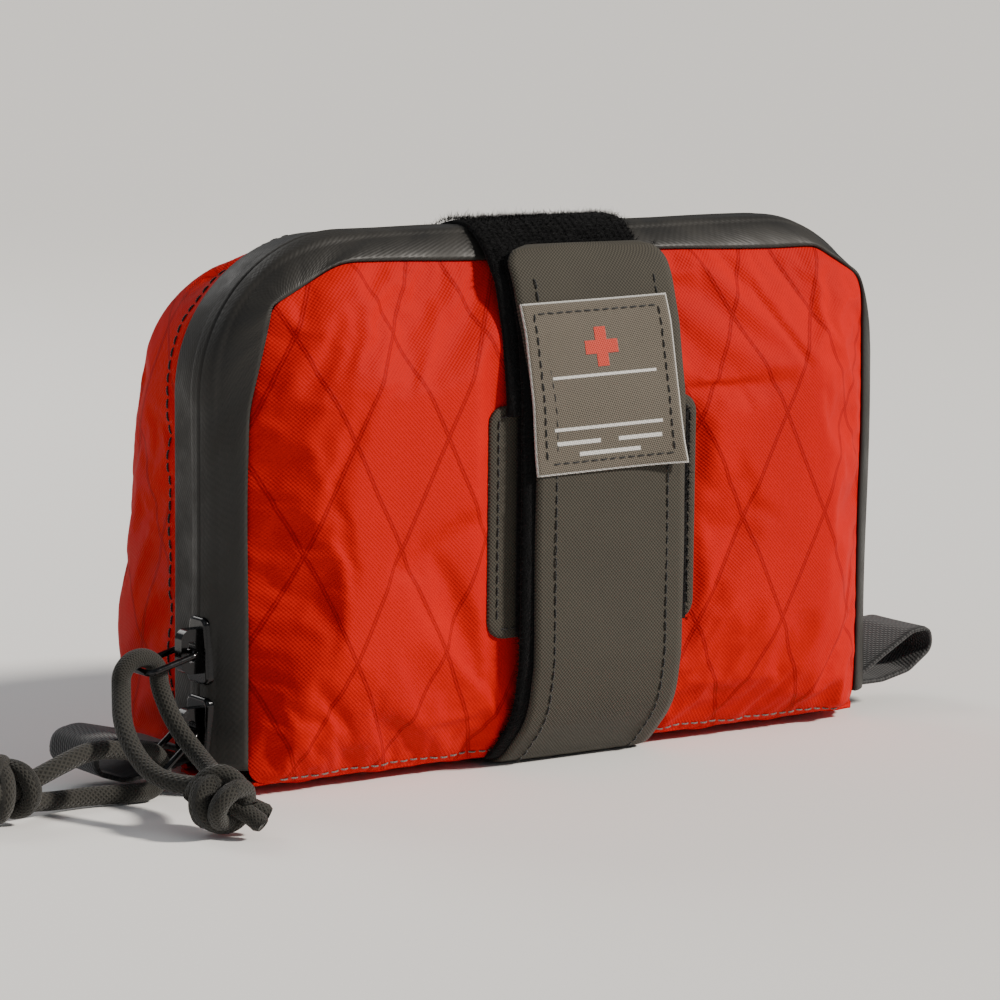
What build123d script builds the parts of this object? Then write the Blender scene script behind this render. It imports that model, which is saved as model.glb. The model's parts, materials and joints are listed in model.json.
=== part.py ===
"""A zipped clamshell first aid pouch with a hook-and-loop wrap strap, and the supplies inside it.

Millimetres. +Z is up, +X is to the right seen from the front, and the lid faces -Y. The origin
is the centre of the base: the pouch stands on the strap that runs under it, at Z 0. The lid
swings forward about the bottom edge, on the line hinge_y, Z 0.
"""

import os
from math import cos, pi, radians, sin, tan

from build123d import *

os.makedirs("parts", exist_ok=True)

# Overall sizes
zip_width = 194.0  # over the zipper, side to side
zip_top = 127.5  # height of the zipper band
lid_width = 179.0  # the front panel, seam to seam
lid_top = 122.5  # top seam of the front panel
overall_depth = 84.0  # front of the label to the back of the strap

# Cloth thicknesses and gaps
fabric = 1.2  # coated pack cloth with its seam tape
lining = 0.5
tape = 1.0  # zipper tape
label = 0.8
strap_cloth = 1.2  # face of the hook strap
strap_pile = 1.2  # the tape behind it
loop_strap = 1.8  # loop tape with its pile
pad = 1.0  # sewn pad on the lid
lay_gap = 0.3  # between layers that lie on each other and move apart
sew_gap = 0.1  # between layers that are sewn together

# Widths of the strap's layers
strap_width = 43.5
pile_wider = 1.3  # the tape behind the strap is wider than the strap
pile_shift = -2.6  # and is sewn off its middle, towards -X
loop_width = 50.0
loop_shift = -3.0  # the loop strap crosses the top a little towards -X
pad_width = 58.0
label_width = 42.0
label_height = 40.0
label_top = 112.0  # height of its upper edge

# Planes along Y, worked out from the front of the label
front = -overall_depth / 2
cloth_mid = front + label + sew_gap + strap_cloth / 2
pile_mid = cloth_mid + strap_cloth / 2 + sew_gap + strap_pile / 2
loop_mid = pile_mid + strap_pile / 2 + lay_gap + loop_strap / 2
lid_front = loop_mid + loop_strap / 2 + sew_gap + pad + sew_gap
lid_seam_y = lid_front + 10.0  # front panel to front tape
zip_y = lid_seam_y + 9.5  # where the two zipper tapes meet
zip_gap = 0.8  # between the tapes, where the sliders' webs run
back_seam_y = zip_y + 14.0  # back tape to back shell
strap_back = strap_cloth + strap_pile + sew_gap  # the whole hook strap, layers together
floor_gap = 0.3  # between the strap and the pouch, under it and behind it
back = overall_depth / 2 - strap_back - floor_gap

# Heights
bottom = strap_back + floor_gap  # underside of the pouch
tape_end = bottom + 1.5  # lower ends of the zipper tapes
back_break = 34.0  # above this the back leans forward
back_shoulder = 99.0
back_shoulder_y = 0.55 * back
back_crown = 121.0
back_crown_y = 0.31 * back
back_taper = 7.5  # each side comes in this much from the zipper to the back

# Corner radii of the panels, seen from the front
zip_corner = 36.0
lid_corner = 21.0
foot_corner = 4.0

# Webbing loops at the ends of the zipper
webbing = 1.2
webbing_width = 22.0
webbing_left_y = zip_y + 17.6  # centre, clear of the lower slider
webbing_right_y = zip_y + 8.0
webbing_reach = 25.0

# Sliders, wire pulls and cords
slider_length = 15.5
slider_width = 9.6
slider_plate = 1.9
slider_gap = 0.4  # to the tape outside and to the teeth inside
bridge_height = 4.8
bridge_width = 3.0
wire = 0.75  # radius
wire_clearance = 0.3
pull_length = 13.0
pull_half_width = 4.6
lower_slider_z = 7.8
slider_spacing = 18.4
teeth = 2.0
teeth_width = 1.4
cord = 2.2  # radius
knot = 7.4  # radius

half = zip_width / 2
lid_half = lid_width / 2


# ---------------------------------------------------------------- helpers


def save(piece, name):
    """Labels a finished piece and writes it as its own STEP file."""
    piece.part.label = name
    export_step(piece.part, f"parts/{name}.step")


def facing(y):
    """The plane parallel to the lid at this Y. Its normal is -Y."""
    return Plane.XZ.offset(-y)


def panel_outline(half_width, low, top, corner, inset=0.0, foot=foot_corner):
    """Draws a panel's outline in the sketch in progress: round above, nearly square at the foot."""
    w, b, t = half_width - inset, low + inset, top - inset
    r, f = corner - inset, max(foot - inset, 0.5)
    with BuildLine() as outline:
        Line((-w + f, b), (w - f, b))
        RadiusArc((w - f, b), (w, b + f), -f)
        Line((w, b + f), (w, t - r))
        RadiusArc((w, t - r), (w - r, t), -r)
        Line((w - r, t), (-w + r, t))
        RadiusArc((-w + r, t), (-w, t - r), -r)
        Line((-w, t - r), (-w, b + f))
        RadiusArc((-w, b + f), (-w + f, b), -f)
    make_face(outline.edges())


def bend_radii(points, largest=None):
    """The largest arcs that the runs of a route leave room for, one for each corner."""
    radii = []
    for a, b, c in zip(points, points[1:], points[2:]):
        before, after = Vector(*b) - Vector(*a), Vector(*c) - Vector(*b)
        turn = radians(before.get_angle(after))
        room = 0.45 * min(before.length, after.length) / tan(max(turn, 0.01) / 2)
        radii.append(room if largest is None else min(room, largest))
    return radii


def band(points, width, thickness, radii):
    """A flat strap of this width that follows points (y, z), with its corners rounded."""
    with BuildPart() as strap:
        with BuildLine(Plane.YZ) as path:
            FilletPolyline(*points, radius=radii)
        start = Plane(origin=path.line @ 0, x_dir=(1, 0, 0), z_dir=path.line % 0)
        with BuildSketch(start):
            Rectangle(width, thickness)
        sweep(path=path.line)
    return strap


def outside(line, distance):
    """The line (y, z) moved outwards, to its left as it is walked, with its corners kept."""
    moved = []
    for i, (y, z) in enumerate(line):
        before = Vector(*line[i]) - Vector(*line[i - 1]) if i else None
        after = Vector(*line[i + 1]) - Vector(*line[i]) if i + 1 < len(line) else None
        normals = [Vector(-d.Y, d.X).normalized() for d in (before, after) if d is not None]
        middle = sum(normals, Vector(0, 0)).normalized()
        reach = distance / middle.dot(normals[0])
        moved.append((y + middle.X * reach, z + middle.Y * reach))
    return moved


def outside_radii(line, radii, distance):
    """The radii that keep a moved line's arcs concentric with those of the line itself."""
    kept = []
    for a, b, c, radius in zip(line, line[1:], line[2:], radii):
        before, after = Vector(*b) - Vector(*a), Vector(*c) - Vector(*b)
        rounds_out = before.cross(after).Z < 0
        kept.append(radius + distance if rounds_out else radius - distance)
    return kept


def round_end(strap, thickness, radius):
    """Rounds the two corners at a strap's upper end."""
    short = strap.edges().filter_by(lambda e: abs(e.length - thickness) < 0.01)
    fillet(short.sort_by(Axis.Z)[-2:], radius)


# ---------------------------------------------------------------- lid

# The lid swells forward from its seam in steps: (y, half width, low, top, corner).
lid_steps = [
    (lid_seam_y, lid_half, bottom, lid_top, lid_corner),
    (lid_seam_y - 4.6, lid_half - 2.6, bottom + 5, lid_top - 7.0, lid_corner - 2),
    (lid_front + 2.2, lid_half - 7.5, bottom + 12, lid_top - 18.0, lid_corner - 5),
    (lid_front, lid_half - 17.0, bottom + 24, lid_top - 34.0, lid_corner - 10),
]
# The same steps at the middle of the lid, from the hinge round to the top: (y, z)
lid_profile = [(y, low) for y, _, low, _, _ in lid_steps]
lid_profile += [(y, top) for y, _, _, top, _ in reversed(lid_steps)]


def lid_form(inset, depth_inset):
    """The lid's solid form. The inner one is inset, and set back from the front."""
    with BuildPart() as form:
        for i, (y, w, low, top, corner) in enumerate(lid_steps):
            y_here = y + depth_inset * min(i, 1)
            with BuildSketch(facing(y_here)):
                panel_outline(w, low, top, corner, inset)
        loft(ruled=True)
    return form


lid_outer = lid_form(0, 0)
lid_inner = lid_form(fabric, fabric)
with BuildPart() as lid_shell:
    add(lid_outer.part)
    add(lid_inner.part, mode=Mode.SUBTRACT)
save(lid_shell, "lid_shell")

flat_y, flat_half, flat_low, flat_top, flat_corner = lid_steps[-1]
with BuildPart() as lid_lining:
    with BuildSketch(facing(flat_y + fabric + sew_gap)):
        panel_outline(flat_half, flat_low, flat_top, flat_corner, fabric + 1)
    extrude(amount=-lining)
save(lid_lining, "lid_lining")

lid_pocket_y = lid_front + fabric + sew_gap + lining + 6.2
with BuildPart() as lid_pocket:
    with BuildSketch(facing(lid_pocket_y)):
        with Locations((0, 56)):
            Rectangle(136, 66)
    extrude(amount=-lining)
save(lid_pocket, "lid_pocket")
with BuildPart() as lid_pocket_binding:
    with BuildSketch(facing(lid_pocket_y - 0.8)):
        with Locations((0, 56 + 33 + 4 + sew_gap)):
            Rectangle(136, 8)
    extrude(amount=-2)
save(lid_pocket_binding, "lid_pocket_binding")


def packet(plane, x, z, width, height, thickness, corner=2.0):
    """A flat packet lying on a plane, centred at (x, z) on it."""
    with BuildPart() as item:
        with BuildSketch(plane):
            with Locations((x, z)):
                RectangleRounded(width, height, corner)
        extrude(amount=thickness)
        fillet(item.edges().group_by(Axis.Y)[0], 0.35 * thickness)
    return item


packet_plane = facing(lid_pocket_y - 0.3)
save(packet(packet_plane, -34, 54, 56, 60, 5.0), "adhesive_strips")
save(packet(packet_plane, 34, 54, 58, 58, 4.4), "antiseptic_wipes")

with BuildPart() as lid_bottom_panel:
    zip_edge = zip_y - zip_gap / 2
    with BuildSketch(Plane.XY.offset(bottom)):
        with BuildLine():
            Polyline(
                (-lid_half, lid_seam_y), (lid_half, lid_seam_y),
                (half, zip_y - 2.4), (half, zip_edge),
                (-half, zip_edge), (-half, zip_y - 2.4),
                close=True,
            )
        make_face()
    extrude(amount=fabric)
save(lid_bottom_panel, "lid_bottom_panel")

# ---------------------------------------------------------------- back shell


def back_form(inset, start_y):
    """The back shell's solid form: deep at the foot, with a back that leans forward above."""
    with BuildPart() as form:
        with BuildSketch(facing(start_y)):
            panel_outline(half, bottom, zip_top, zip_corner, inset)
        extrude(amount=start_y - back)
        with BuildSketch(Plane.YZ):
            with BuildLine():
                FilletPolyline(
                    (start_y - 5, bottom + inset),
                    (back - 6, bottom + inset),
                    (back - inset, bottom + 6),
                    (back - inset, back_break),
                    (back_shoulder_y - inset, back_shoulder),
                    (back_crown_y - inset, back_crown),
                    (back_seam_y + 1, zip_top - inset),
                    (start_y - 5, zip_top - inset),
                    radius=[5, 5, 40, 30, 4, 2],
                )
                Line((start_y - 5, zip_top - inset), (start_y - 5, bottom + inset))
            make_face()
        extrude(amount=half, both=True, mode=Mode.INTERSECT)
        narrow = back_taper * (back - start_y) / (back - back_seam_y)
        with BuildSketch(Plane.XY):
            with BuildLine():
                Polyline(
                    (-half + inset, start_y), (half - inset, start_y),
                    (half - narrow - inset, back), (-half + narrow + inset, back),
                    close=True,
                )
            make_face()
        extrude(amount=zip_top, mode=Mode.INTERSECT)
    return form


back_outer = back_form(0, back_seam_y)
back_inner = back_form(fabric, back_seam_y - 1)
with BuildPart() as back_shell:
    add(back_outer.part)
    add(back_inner.part, mode=Mode.SUBTRACT)
save(back_shell, "back_shell")

with BuildPart() as bottom_panel:
    with BuildSketch(Plane.XY.offset(bottom)):
        with Locations((0, (zip_y + zip_gap / 2 + back_seam_y) / 2)):
            Rectangle(zip_width - 2 * foot_corner, back_seam_y - zip_y - zip_gap / 2)
    extrude(amount=fabric)
save(bottom_panel, "bottom_panel")


def back_slope_y(z):
    """The Y of the back panel's outside where it leans, at height z."""
    return back - (z - back_break) * (back - back_shoulder_y) / (back_shoulder - back_break)


def on_back(depth):
    """The plane this deep inside the leaning back. Its normal is inwards, its Y runs up."""
    along = Vector(0, back_shoulder_y - back, back_shoulder - back_break).normalized()
    inward = Vector(0, -along.Z, along.Y)
    foot = Vector(0, back, back_break)
    return Plane(origin=foot + inward * depth, x_dir=(1, 0, 0), z_dir=inward)


slope_length = Vector(0, back_shoulder_y - back, back_shoulder - back_break).length
lining_depth = fabric + sew_gap
with BuildPart() as back_lining:
    with BuildSketch(on_back(lining_depth)):
        with Locations((0, slope_length / 2 + 1)):
            Rectangle(lid_width - 20, slope_length - 8)
    extrude(amount=lining)
save(back_lining, "back_lining")

pocket_depth = lining_depth + lining + 7.0
with BuildPart() as back_pocket:
    with BuildSketch(on_back(pocket_depth)):
        with Locations((0, slope_length / 2 - 6)):
            Rectangle(lid_width - 26, slope_length - 24)
    extrude(amount=lining)
save(back_pocket, "back_pocket")
with BuildPart() as back_pocket_binding:
    with BuildSketch(on_back(pocket_depth - 0.8)):
        with Locations((0, slope_length - 14 + sew_gap)):
            Rectangle(lid_width - 26, 8)
    extrude(amount=2)
save(back_pocket_binding, "back_pocket_binding")

# Supplies: flat ones in the back pocket, rolls and packs in front of it
in_pocket = on_back(lining_depth + lining + 0.3)
save(packet(in_pocket, -38, slope_length / 2 - 8, 68, 44, 5.4), "gauze_pads")
save(packet(in_pocket, 38, slope_length / 2 - 8, 66, 44, 5.0), "glove_pack")
before_pocket = on_back(pocket_depth + lining + 0.4)
save(packet(before_pocket, -44, slope_length / 2 - 5, 64, 40, 9.0, 4), "triangular_bandage")
save(packet(before_pocket, 40, slope_length / 2 - 5, 62, 40, 8.0, 3), "emergency_blanket")


def roll(x, length, radius, bore, y, low):
    """A roll lying along X on the bottom of the pouch, with a bore through it if there is one."""
    with BuildPart() as item:
        with BuildSketch(Plane.YZ.offset(x)):
            with Locations((y, low + radius)):
                Circle(radius)
                if bore:
                    Circle(bore, mode=Mode.SUBTRACT)
        extrude(amount=length / 2, both=True)
        rims = item.edges().filter_by(GeomType.CIRCLE).filter_by(lambda e: e.radius > bore + 1)
        fillet(rims, 1.2)
    return item


supply_low = bottom + fabric + 0.5
supply_y = back - 19.0
save(roll(-50, 72, 15.5, 0, supply_y, supply_low), "elastic_bandage")
save(roll(24, 62, 14.5, 0, supply_y, supply_low), "gauze_roll")
save(roll(74, 26, 14.5, 8.5, supply_y, supply_low), "tape_roll")

tweezers_y = back_seam_y + 2.6
with BuildPart() as tweezers:
    with BuildSketch(Plane.XY.offset(supply_low)):
        with Locations((-14, tweezers_y - 1.4), (-14, tweezers_y + 1.4)):
            Rectangle(88, 1.2)
        with Locations((-55, tweezers_y)):
            Rectangle(6, 4)
    extrude(amount=7)
save(tweezers, "tweezers")


# ---------------------------------------------------------------- zipper


def ring(y_from, y_to, inset, thickness, low):
    """A U-shaped strip that runs up one side of the zipper, over the top and down the other."""
    with BuildPart() as strip:
        with BuildSketch(facing(y_from)):
            panel_outline(half, bottom, zip_top, zip_corner, inset)
        extrude(amount=y_from - y_to)
        with BuildSketch(facing(y_from)):
            panel_outline(half, bottom, zip_top, zip_corner, inset + thickness)
        extrude(amount=y_from - y_to, mode=Mode.SUBTRACT)
        with Locations((0, (y_from + y_to) / 2, low)):
            Box(
                2 * zip_width, 2 * abs(y_to - y_from), 2 * low, mode=Mode.SUBTRACT,
                align=(Align.CENTER, Align.CENTER, Align.MAX),
            )
    return strip


zipper_tape_back = ring(zip_y + zip_gap / 2, back_seam_y, 0, tape, tape_end)
save(zipper_tape_back, "zipper_tape_back")

front_edge = zip_y - zip_gap / 2
straight_y = zip_y - 2.4  # the front tape runs straight behind this, to carry the teeth
with BuildPart() as zipper_tape_front:
    for inset, mode in ((0, Mode.ADD), (tape, Mode.SUBTRACT)):
        with BuildSketch(facing(lid_seam_y)) as seam_face:
            panel_outline(lid_half, bottom, lid_top, lid_corner, inset)
        with BuildSketch(facing(straight_y)) as straight_face:
            panel_outline(half, bottom, zip_top, zip_corner, inset)
        loft([seam_face.sketch, straight_face.sketch], ruled=True, mode=mode)
        with BuildSketch(facing(straight_y)):
            panel_outline(half, bottom, zip_top, zip_corner, inset)
        extrude(amount=straight_y - front_edge, mode=mode)
    with Locations((0, 0, tape_end)):
        Box(
            2 * zip_width, overall_depth, 2 * tape_end, mode=Mode.SUBTRACT,
            align=(Align.CENTER, Align.CENTER, Align.MAX),
        )
save(zipper_tape_front, "zipper_tape_front")

zipper_teeth_back = ring(
    zip_y + zip_gap / 2, zip_y + zip_gap / 2 + teeth_width, tape, teeth, lower_slider_z - 1
)
save(zipper_teeth_back, "zipper_teeth_back")
zipper_teeth_front = ring(
    front_edge - teeth_width, front_edge, tape, teeth, lower_slider_z - 1
)
save(zipper_teeth_front, "zipper_teeth_front")


def slider(foot_z, nose_up):
    """A zipper slider on the left side: plates either side of the tapes, a web and a bridge."""
    nose, tail = slider_width / 2, slider_width / 2 - 1.4
    low_half, high_half = (tail, nose) if nose_up else (nose, tail)
    plate_x = -half - slider_gap
    inner_x = -half + tape + teeth + slider_gap
    axis_x = plate_x - slider_plate - bridge_height / 2 + 0.2
    middle_z = foot_z + slider_length / 2
    web_z = foot_z + slider_length - 2.2 if nose_up else foot_z + 2.2
    with BuildPart() as body:
        with BuildSketch(Plane.YZ.offset(plate_x)):
            with BuildLine():
                FilletPolyline(
                    (zip_y - low_half, foot_z),
                    (zip_y + low_half, foot_z),
                    (zip_y + high_half, foot_z + slider_length),
                    (zip_y - high_half, foot_z + slider_length),
                    close=True,
                    radius=1.8,
                )
            make_face()
        extrude(amount=-slider_plate)
        outer_face = body.faces().sort_by(Axis.X)[0]
        fillet(outer_face.edges(), 0.8)
        with BuildSketch(Plane.YZ.offset(inner_x)):
            with Locations((zip_y, middle_z)):
                Rectangle(5.0, slider_length - 1)
        extrude(amount=1.2)
        with Locations(((plate_x + inner_x) / 2, zip_y, web_z)):
            Box(abs(plate_x - inner_x), zip_gap / 2, 3.4)
        with BuildSketch(Plane.XZ.offset(-zip_y)):
            with Locations((plate_x - slider_plate - bridge_height / 2 + 0.4, middle_z)):
                Rectangle(bridge_height + 0.8, 10.4)
        extrude(amount=bridge_width / 2, both=True)
        bridge_edges = body.edges().filter_by(Axis.Y).sort_by(Axis.X)[:2]
        fillet(bridge_edges, 2.6)
        with BuildSketch(Plane.XZ.offset(-zip_y)):
            with Locations((axis_x, middle_z)):
                SlotCenterToCenter(3.0, 2 * (wire + wire_clearance), rotation=90)
        extrude(amount=bridge_width, both=True, mode=Mode.SUBTRACT)
    return body, Vector(axis_x, zip_y, middle_z)


def wire_pull(axis, droop):
    """A bent wire ring that hangs in a slider's bridge, this many degrees below level."""
    out = Vector(-cos(radians(droop)), 0, -sin(radians(droop)))
    side = Vector(0, pull_half_width, 0)
    corners = [axis - side, axis + side, axis + side + out * pull_length, axis - side + out * pull_length]
    with BuildPart() as ring_wire:
        with BuildLine() as path:
            FilletPolyline(*corners, close=True, radius=1.6)
        with BuildSketch(Plane(origin=path.line @ 0, z_dir=path.line % 0)):
            Circle(wire)
        sweep(path=path.line)
    return ring_wire, axis + out * pull_length


def cord_tube(points):
    """The cord's plain tube along a route. Prints its radii, and its volume against its length."""
    radii = bend_radii(points)
    with BuildPart() as tube:
        with BuildLine() as route:
            FilletPolyline(*points, radius=radii)
        with BuildSketch(Plane(origin=route.line @ 0, z_dir=route.line % 0)):
            Circle(cord)
        sweep(path=route.line)
    length = sum(edge.length for edge in route.edges())
    share = tube.part.volume / (length * pi * cord**2)
    print("cord length", round(length, 1), "volume share", round(share, 4))
    print("  radii", [round(r, 1) for r in radii])
    return tube


def knot_form(centre, tails):
    """A knot as a rounded lump, with the two cut ends of the cord standing out of it."""
    with BuildPart() as lump:
        with Locations(centre):
            Sphere(knot)
        for tail in tails:
            with BuildSketch(Plane(origin=centre, z_dir=tail)):
                Circle(cord)
            extrude(amount=Vector(*tail).length)
    return lump


lower_slider, lower_axis = slider(lower_slider_z, nose_up=True)
save(lower_slider, "lower_slider")
upper_slider, upper_axis = slider(lower_slider_z + slider_spacing, nose_up=False)
save(upper_slider, "upper_slider")
print("slider axes", lower_axis, upper_axis)

upper_pull, upper_bar = wire_pull(upper_axis, droop=15)
save(upper_pull, "upper_pull_wire")
lower_pull, lower_bar = wire_pull(lower_axis, droop=40)
save(lower_pull, "lower_pull_wire")
print("pull bars", upper_bar, lower_bar)

# Each cord goes once round its wire's bar and down to its knot. The routes are points chosen by
# hand, as offsets from the middle of the loop at the bar.
upper_cord_route = [
    (-4.5, -33.5, -18.0), (-7.5, -27.0, -18.6), (-9.6, -17.5, -16.0), (-8.4, -6.5, -9.0),
    (-4.9, 0.0, -2.0), (-4.9, 0.0, 2.0), (-2.0, 0.0, 4.9),
    (2.0, 0.0, 4.9), (4.9, 0.0, 2.0), (4.9, 0.0, -2.0),
    (6.2, -5.0, -10.5), (7.5, -15.0, -17.0), (5.5, -25.5, -19.2), (1.0, -33.5, -18.2),
]
lower_cord_route = [
    (-33.0, -4.6, 1.6), (-26.0, -5.2, 4.6), (-14.0, -2.2, 7.4),
    (-2.0, 0.0, 4.9), (2.0, 0.0, 4.9), (4.9, 0.0, 2.0),
    (4.9, 0.0, -2.0), (2.0, 0.0, -4.7), (-2.0, 0.0, -4.7),
    (-13.0, 2.6, -4.6), (-25.0, 1.2, -4.4), (-33.5, -2.6, -2.6),
]
bar_drop = 1.9  # the loop's middle is this far from the bar, so that the cord lies on it
upper_loop = upper_bar + Vector(0, 0, -bar_drop)
lower_loop = lower_bar + Vector(-bar_drop, 0, 0)
upper_cord = cord_tube([upper_loop + Vector(*p) for p in upper_cord_route])
save(upper_cord, "upper_pull_cord")
lower_cord = cord_tube([lower_loop + Vector(*p) for p in lower_cord_route])
save(lower_cord, "lower_pull_cord")

upper_knot_at = (upper_loop.X - 2.0, upper_loop.Y - 38.5, knot + 0.3)
lower_knot_at = (lower_loop.X - 38.5, lower_loop.Y - 4.2, knot + 0.3)
upper_knot = knot_form(upper_knot_at, [(6.0, -9.5, -4.6), (9.6, -5.5, -3.4)])
save(upper_knot, "upper_pull_knot")
lower_knot = knot_form(lower_knot_at, [(-10.5, 2.5, -4.6), (-10.0, -4.5, -3.6)])
save(lower_knot, "lower_pull_knot")

# ---------------------------------------------------------------- webbing loops

loop_z = bottom + 5.2  # where the webbing is sewn to the side
loop_route = [
    (0.15, 0.9), (8, 3.2), (webbing_reach * 0.72, 5.6), (webbing_reach - 1, 4.4),
    (webbing_reach - 0.2, -1.4), (webbing_reach * 0.68, -4.2), (8, -3.2), (0.15, -0.9),
]
for side, y, rise, name in (
    (-1, webbing_left_y, 0.0, "webbing_loop_left"),
    (1, webbing_right_y, 0.3, "webbing_loop_right"),
):
    loop_points = [(side * (half + x), loop_z + z + rise * x) for x, z in loop_route]
    with BuildPart() as webbing_loop:
        with BuildLine(Plane.XZ.offset(-y)) as path:
            FilletPolyline(*loop_points, radius=bend_radii(loop_points, 8))
        start = Plane(origin=path.line @ 0, x_dir=(0, 1, 0), z_dir=path.line % 0)
        with BuildSketch(start):
            Rectangle(webbing_width, webbing)
        sweep(path=path.line)
        with Locations((side * (half - 5 + sew_gap), y, loop_z)):
            Box(10, 2 * webbing_width, 20, mode=Mode.SUBTRACT)
    save(webbing_loop, name)

# ---------------------------------------------------------------- wrap strap

hinge_y = zip_y  # the hinge line of the lid and the hook strap, at Z 0
hinge_gap = 0.35
cloth_z = strap_cloth / 2
pile_z = strap_cloth + sew_gap + strap_pile / 2

with BuildPart() as strap_pad:
    with BuildSketch(facing(lid_front - sew_gap)):
        with Locations((0, 60.5)):
            RectangleRounded(pad_width, 55, 4.5)
    extrude(amount=pad)
save(strap_pad, "strap_pad")

with BuildPart() as loop_field:
    with BuildSketch(facing(lid_front - sew_gap - pad - sew_gap)):
        with Locations((0, 57.5)):
            Rectangle(loop_width, 48)
    extrude(amount=loop_strap)
save(loop_field, "loop_field")


# The surface that the strap follows: up the lid from the base, then back over the top
top_bend = (zip_y - 4.0, zip_top)
wrap = [(lid_seam_y + 4, bottom), *lid_profile, top_bend, (back_seam_y, zip_top)]
cloth_climb = outside(wrap, lid_front - cloth_mid)
tab_end = Vector(*cloth_climb[7]) + 0.86 * (Vector(*cloth_climb[8]) - Vector(*cloth_climb[7]))
cloth_line = [
    (hinge_y - hinge_gap, cloth_z),
    (lid_seam_y - 1.0, cloth_z),
    *cloth_climb[3:8],
    (tab_end.X, tab_end.Y),
]
cloth_radii = [4.0, *bend_radii(cloth_line[1:], 24)]
to_pile = cloth_mid - pile_mid
pile_line = outside(cloth_line, to_pile)
pile_radii = outside_radii(cloth_line, cloth_radii, to_pile)

strap_band = band(cloth_line, strap_width, strap_cloth, cloth_radii)
with BuildPart() as hook_strap_cloth:
    add(strap_band.part)
    round_end(hook_strap_cloth, strap_cloth, 6.0)
save(hook_strap_cloth, "hook_strap_cloth")
pile_band = band(pile_line, strap_width + pile_wider, strap_pile, pile_radii)
with BuildPart() as hook_strap_pile:
    add(pile_band.part)
    round_end(hook_strap_pile, strap_pile, 5.2)
hook_strap_pile.part = Pos(pile_shift, 0, 0) * hook_strap_pile.part  # it shows on one side only
save(hook_strap_pile, "hook_strap_pile")

# Hook strap, sewn part: from the middle of the back down and under to the hinge line
sewn_z = 64.0  # where both straps end on the back, under the keeper
base_line = [
    (back_slope_y(sewn_z - 1), sewn_z - 1),
    (back, back_break),
    (back, bottom + 6),
    (back - 6, bottom),
    (hinge_y + hinge_gap, bottom),
]
base_reach = floor_gap + strap_back / 2
hook_strap_base = band(
    outside(base_line, base_reach), strap_width, strap_back, bend_radii(base_line, 5)
)
save(hook_strap_base, "hook_strap_base")

# Loop strap: up the back from the keeper, then over the top and down under the hook strap
loop_reach = lid_front - loop_mid
lift_y = back_seam_y + 5.0  # where the loop strap folds back
loop_back = floor_gap + loop_strap / 2
over_z = outside(wrap, loop_reach)[-1][1]  # level with its part over the lid
rise_line = [
    (back_slope_y(sewn_z + 1) + loop_back, sewn_z + 1),
    (back_shoulder_y + loop_back + 0.3, back_shoulder),
    (back_crown_y + loop_back + 2.6, back_crown + 1.6),
    (lift_y + 4.2, over_z),
    (lift_y + hinge_gap, over_z),
]
loop_strap_base = band(rise_line, loop_width, loop_strap, bend_radii(rise_line, 6))
loop_strap_base.part = Pos(loop_shift, 0, 0) * loop_strap_base.part
save(loop_strap_base, "loop_strap_base")

loop_climb = outside(wrap, loop_reach)
loop_low = Vector(*loop_climb[5]) + 0.62 * (Vector(*loop_climb[6]) - Vector(*loop_climb[5]))
fall_line = [
    (loop_low.X, loop_low.Y), *loop_climb[6:10], (lift_y - hinge_gap, over_z)
]
cloth_top_radii = bend_radii(cloth_climb[5:], 24)
loop_strap_end = band(
    fall_line, loop_width, loop_strap,
    outside_radii(cloth_climb[5:], cloth_top_radii, loop_reach - (lid_front - cloth_mid)),
)
loop_strap_end.part = Pos(loop_shift, 0, 0) * loop_strap_end.part
save(loop_strap_end, "loop_strap_end")

keeper_plane = on_back(-(floor_gap + strap_back + sew_gap))
with BuildPart() as strap_keeper:
    with BuildSketch(keeper_plane):
        with Locations((0, (sewn_z - back_break) * slope_length / (back_shoulder - back_break))):
            RectangleRounded(pad_width, 26, 4)
    extrude(amount=-pad)
save(strap_keeper, "strap_keeper")

# Label, sewn near the upper end of the hook strap and bent with it
label_mid = cloth_mid - strap_cloth / 2 - sew_gap - label / 2
label_climb = outside(wrap, lid_front - label_mid)
label_line = [(label_mid, label_top - label_height), label_climb[5], label_climb[6]]
past = Vector(*label_climb[7]) - Vector(*label_climb[6])
label_end = Vector(*label_climb[6]) + past * ((label_top - label_climb[6][1]) / past.Y)
label_line.append((label_end.X, label_end.Y))
to_label = cloth_mid - label_mid
label_radii = outside_radii(cloth_climb[4:8], bend_radii(cloth_climb[4:8], 24), to_label)
label_patch = band(label_line, label_width, label, label_radii)
save(label_patch, "label_patch")

print("planes", [round(v, 2) for v in (front, cloth_mid, pile_mid, loop_mid, lid_front, back)])
print("zip_y", zip_y, "lid_seam_y", lid_seam_y, "back_seam_y", back_seam_y, "lift_y", lift_y)
print("lid profile", [(round(y, 1), round(z, 1)) for y, z in lid_profile])
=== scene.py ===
"""Looks of the first aid pouch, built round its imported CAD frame. Metres; the lid faces -Y."""
import json
import math

import bmesh
import bpy
import numpy as np
from mathutils import Matrix, Vector
from mathutils.bvhtree import BVHTree
from mathutils.geometry import delaunay_2d_cdt

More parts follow.
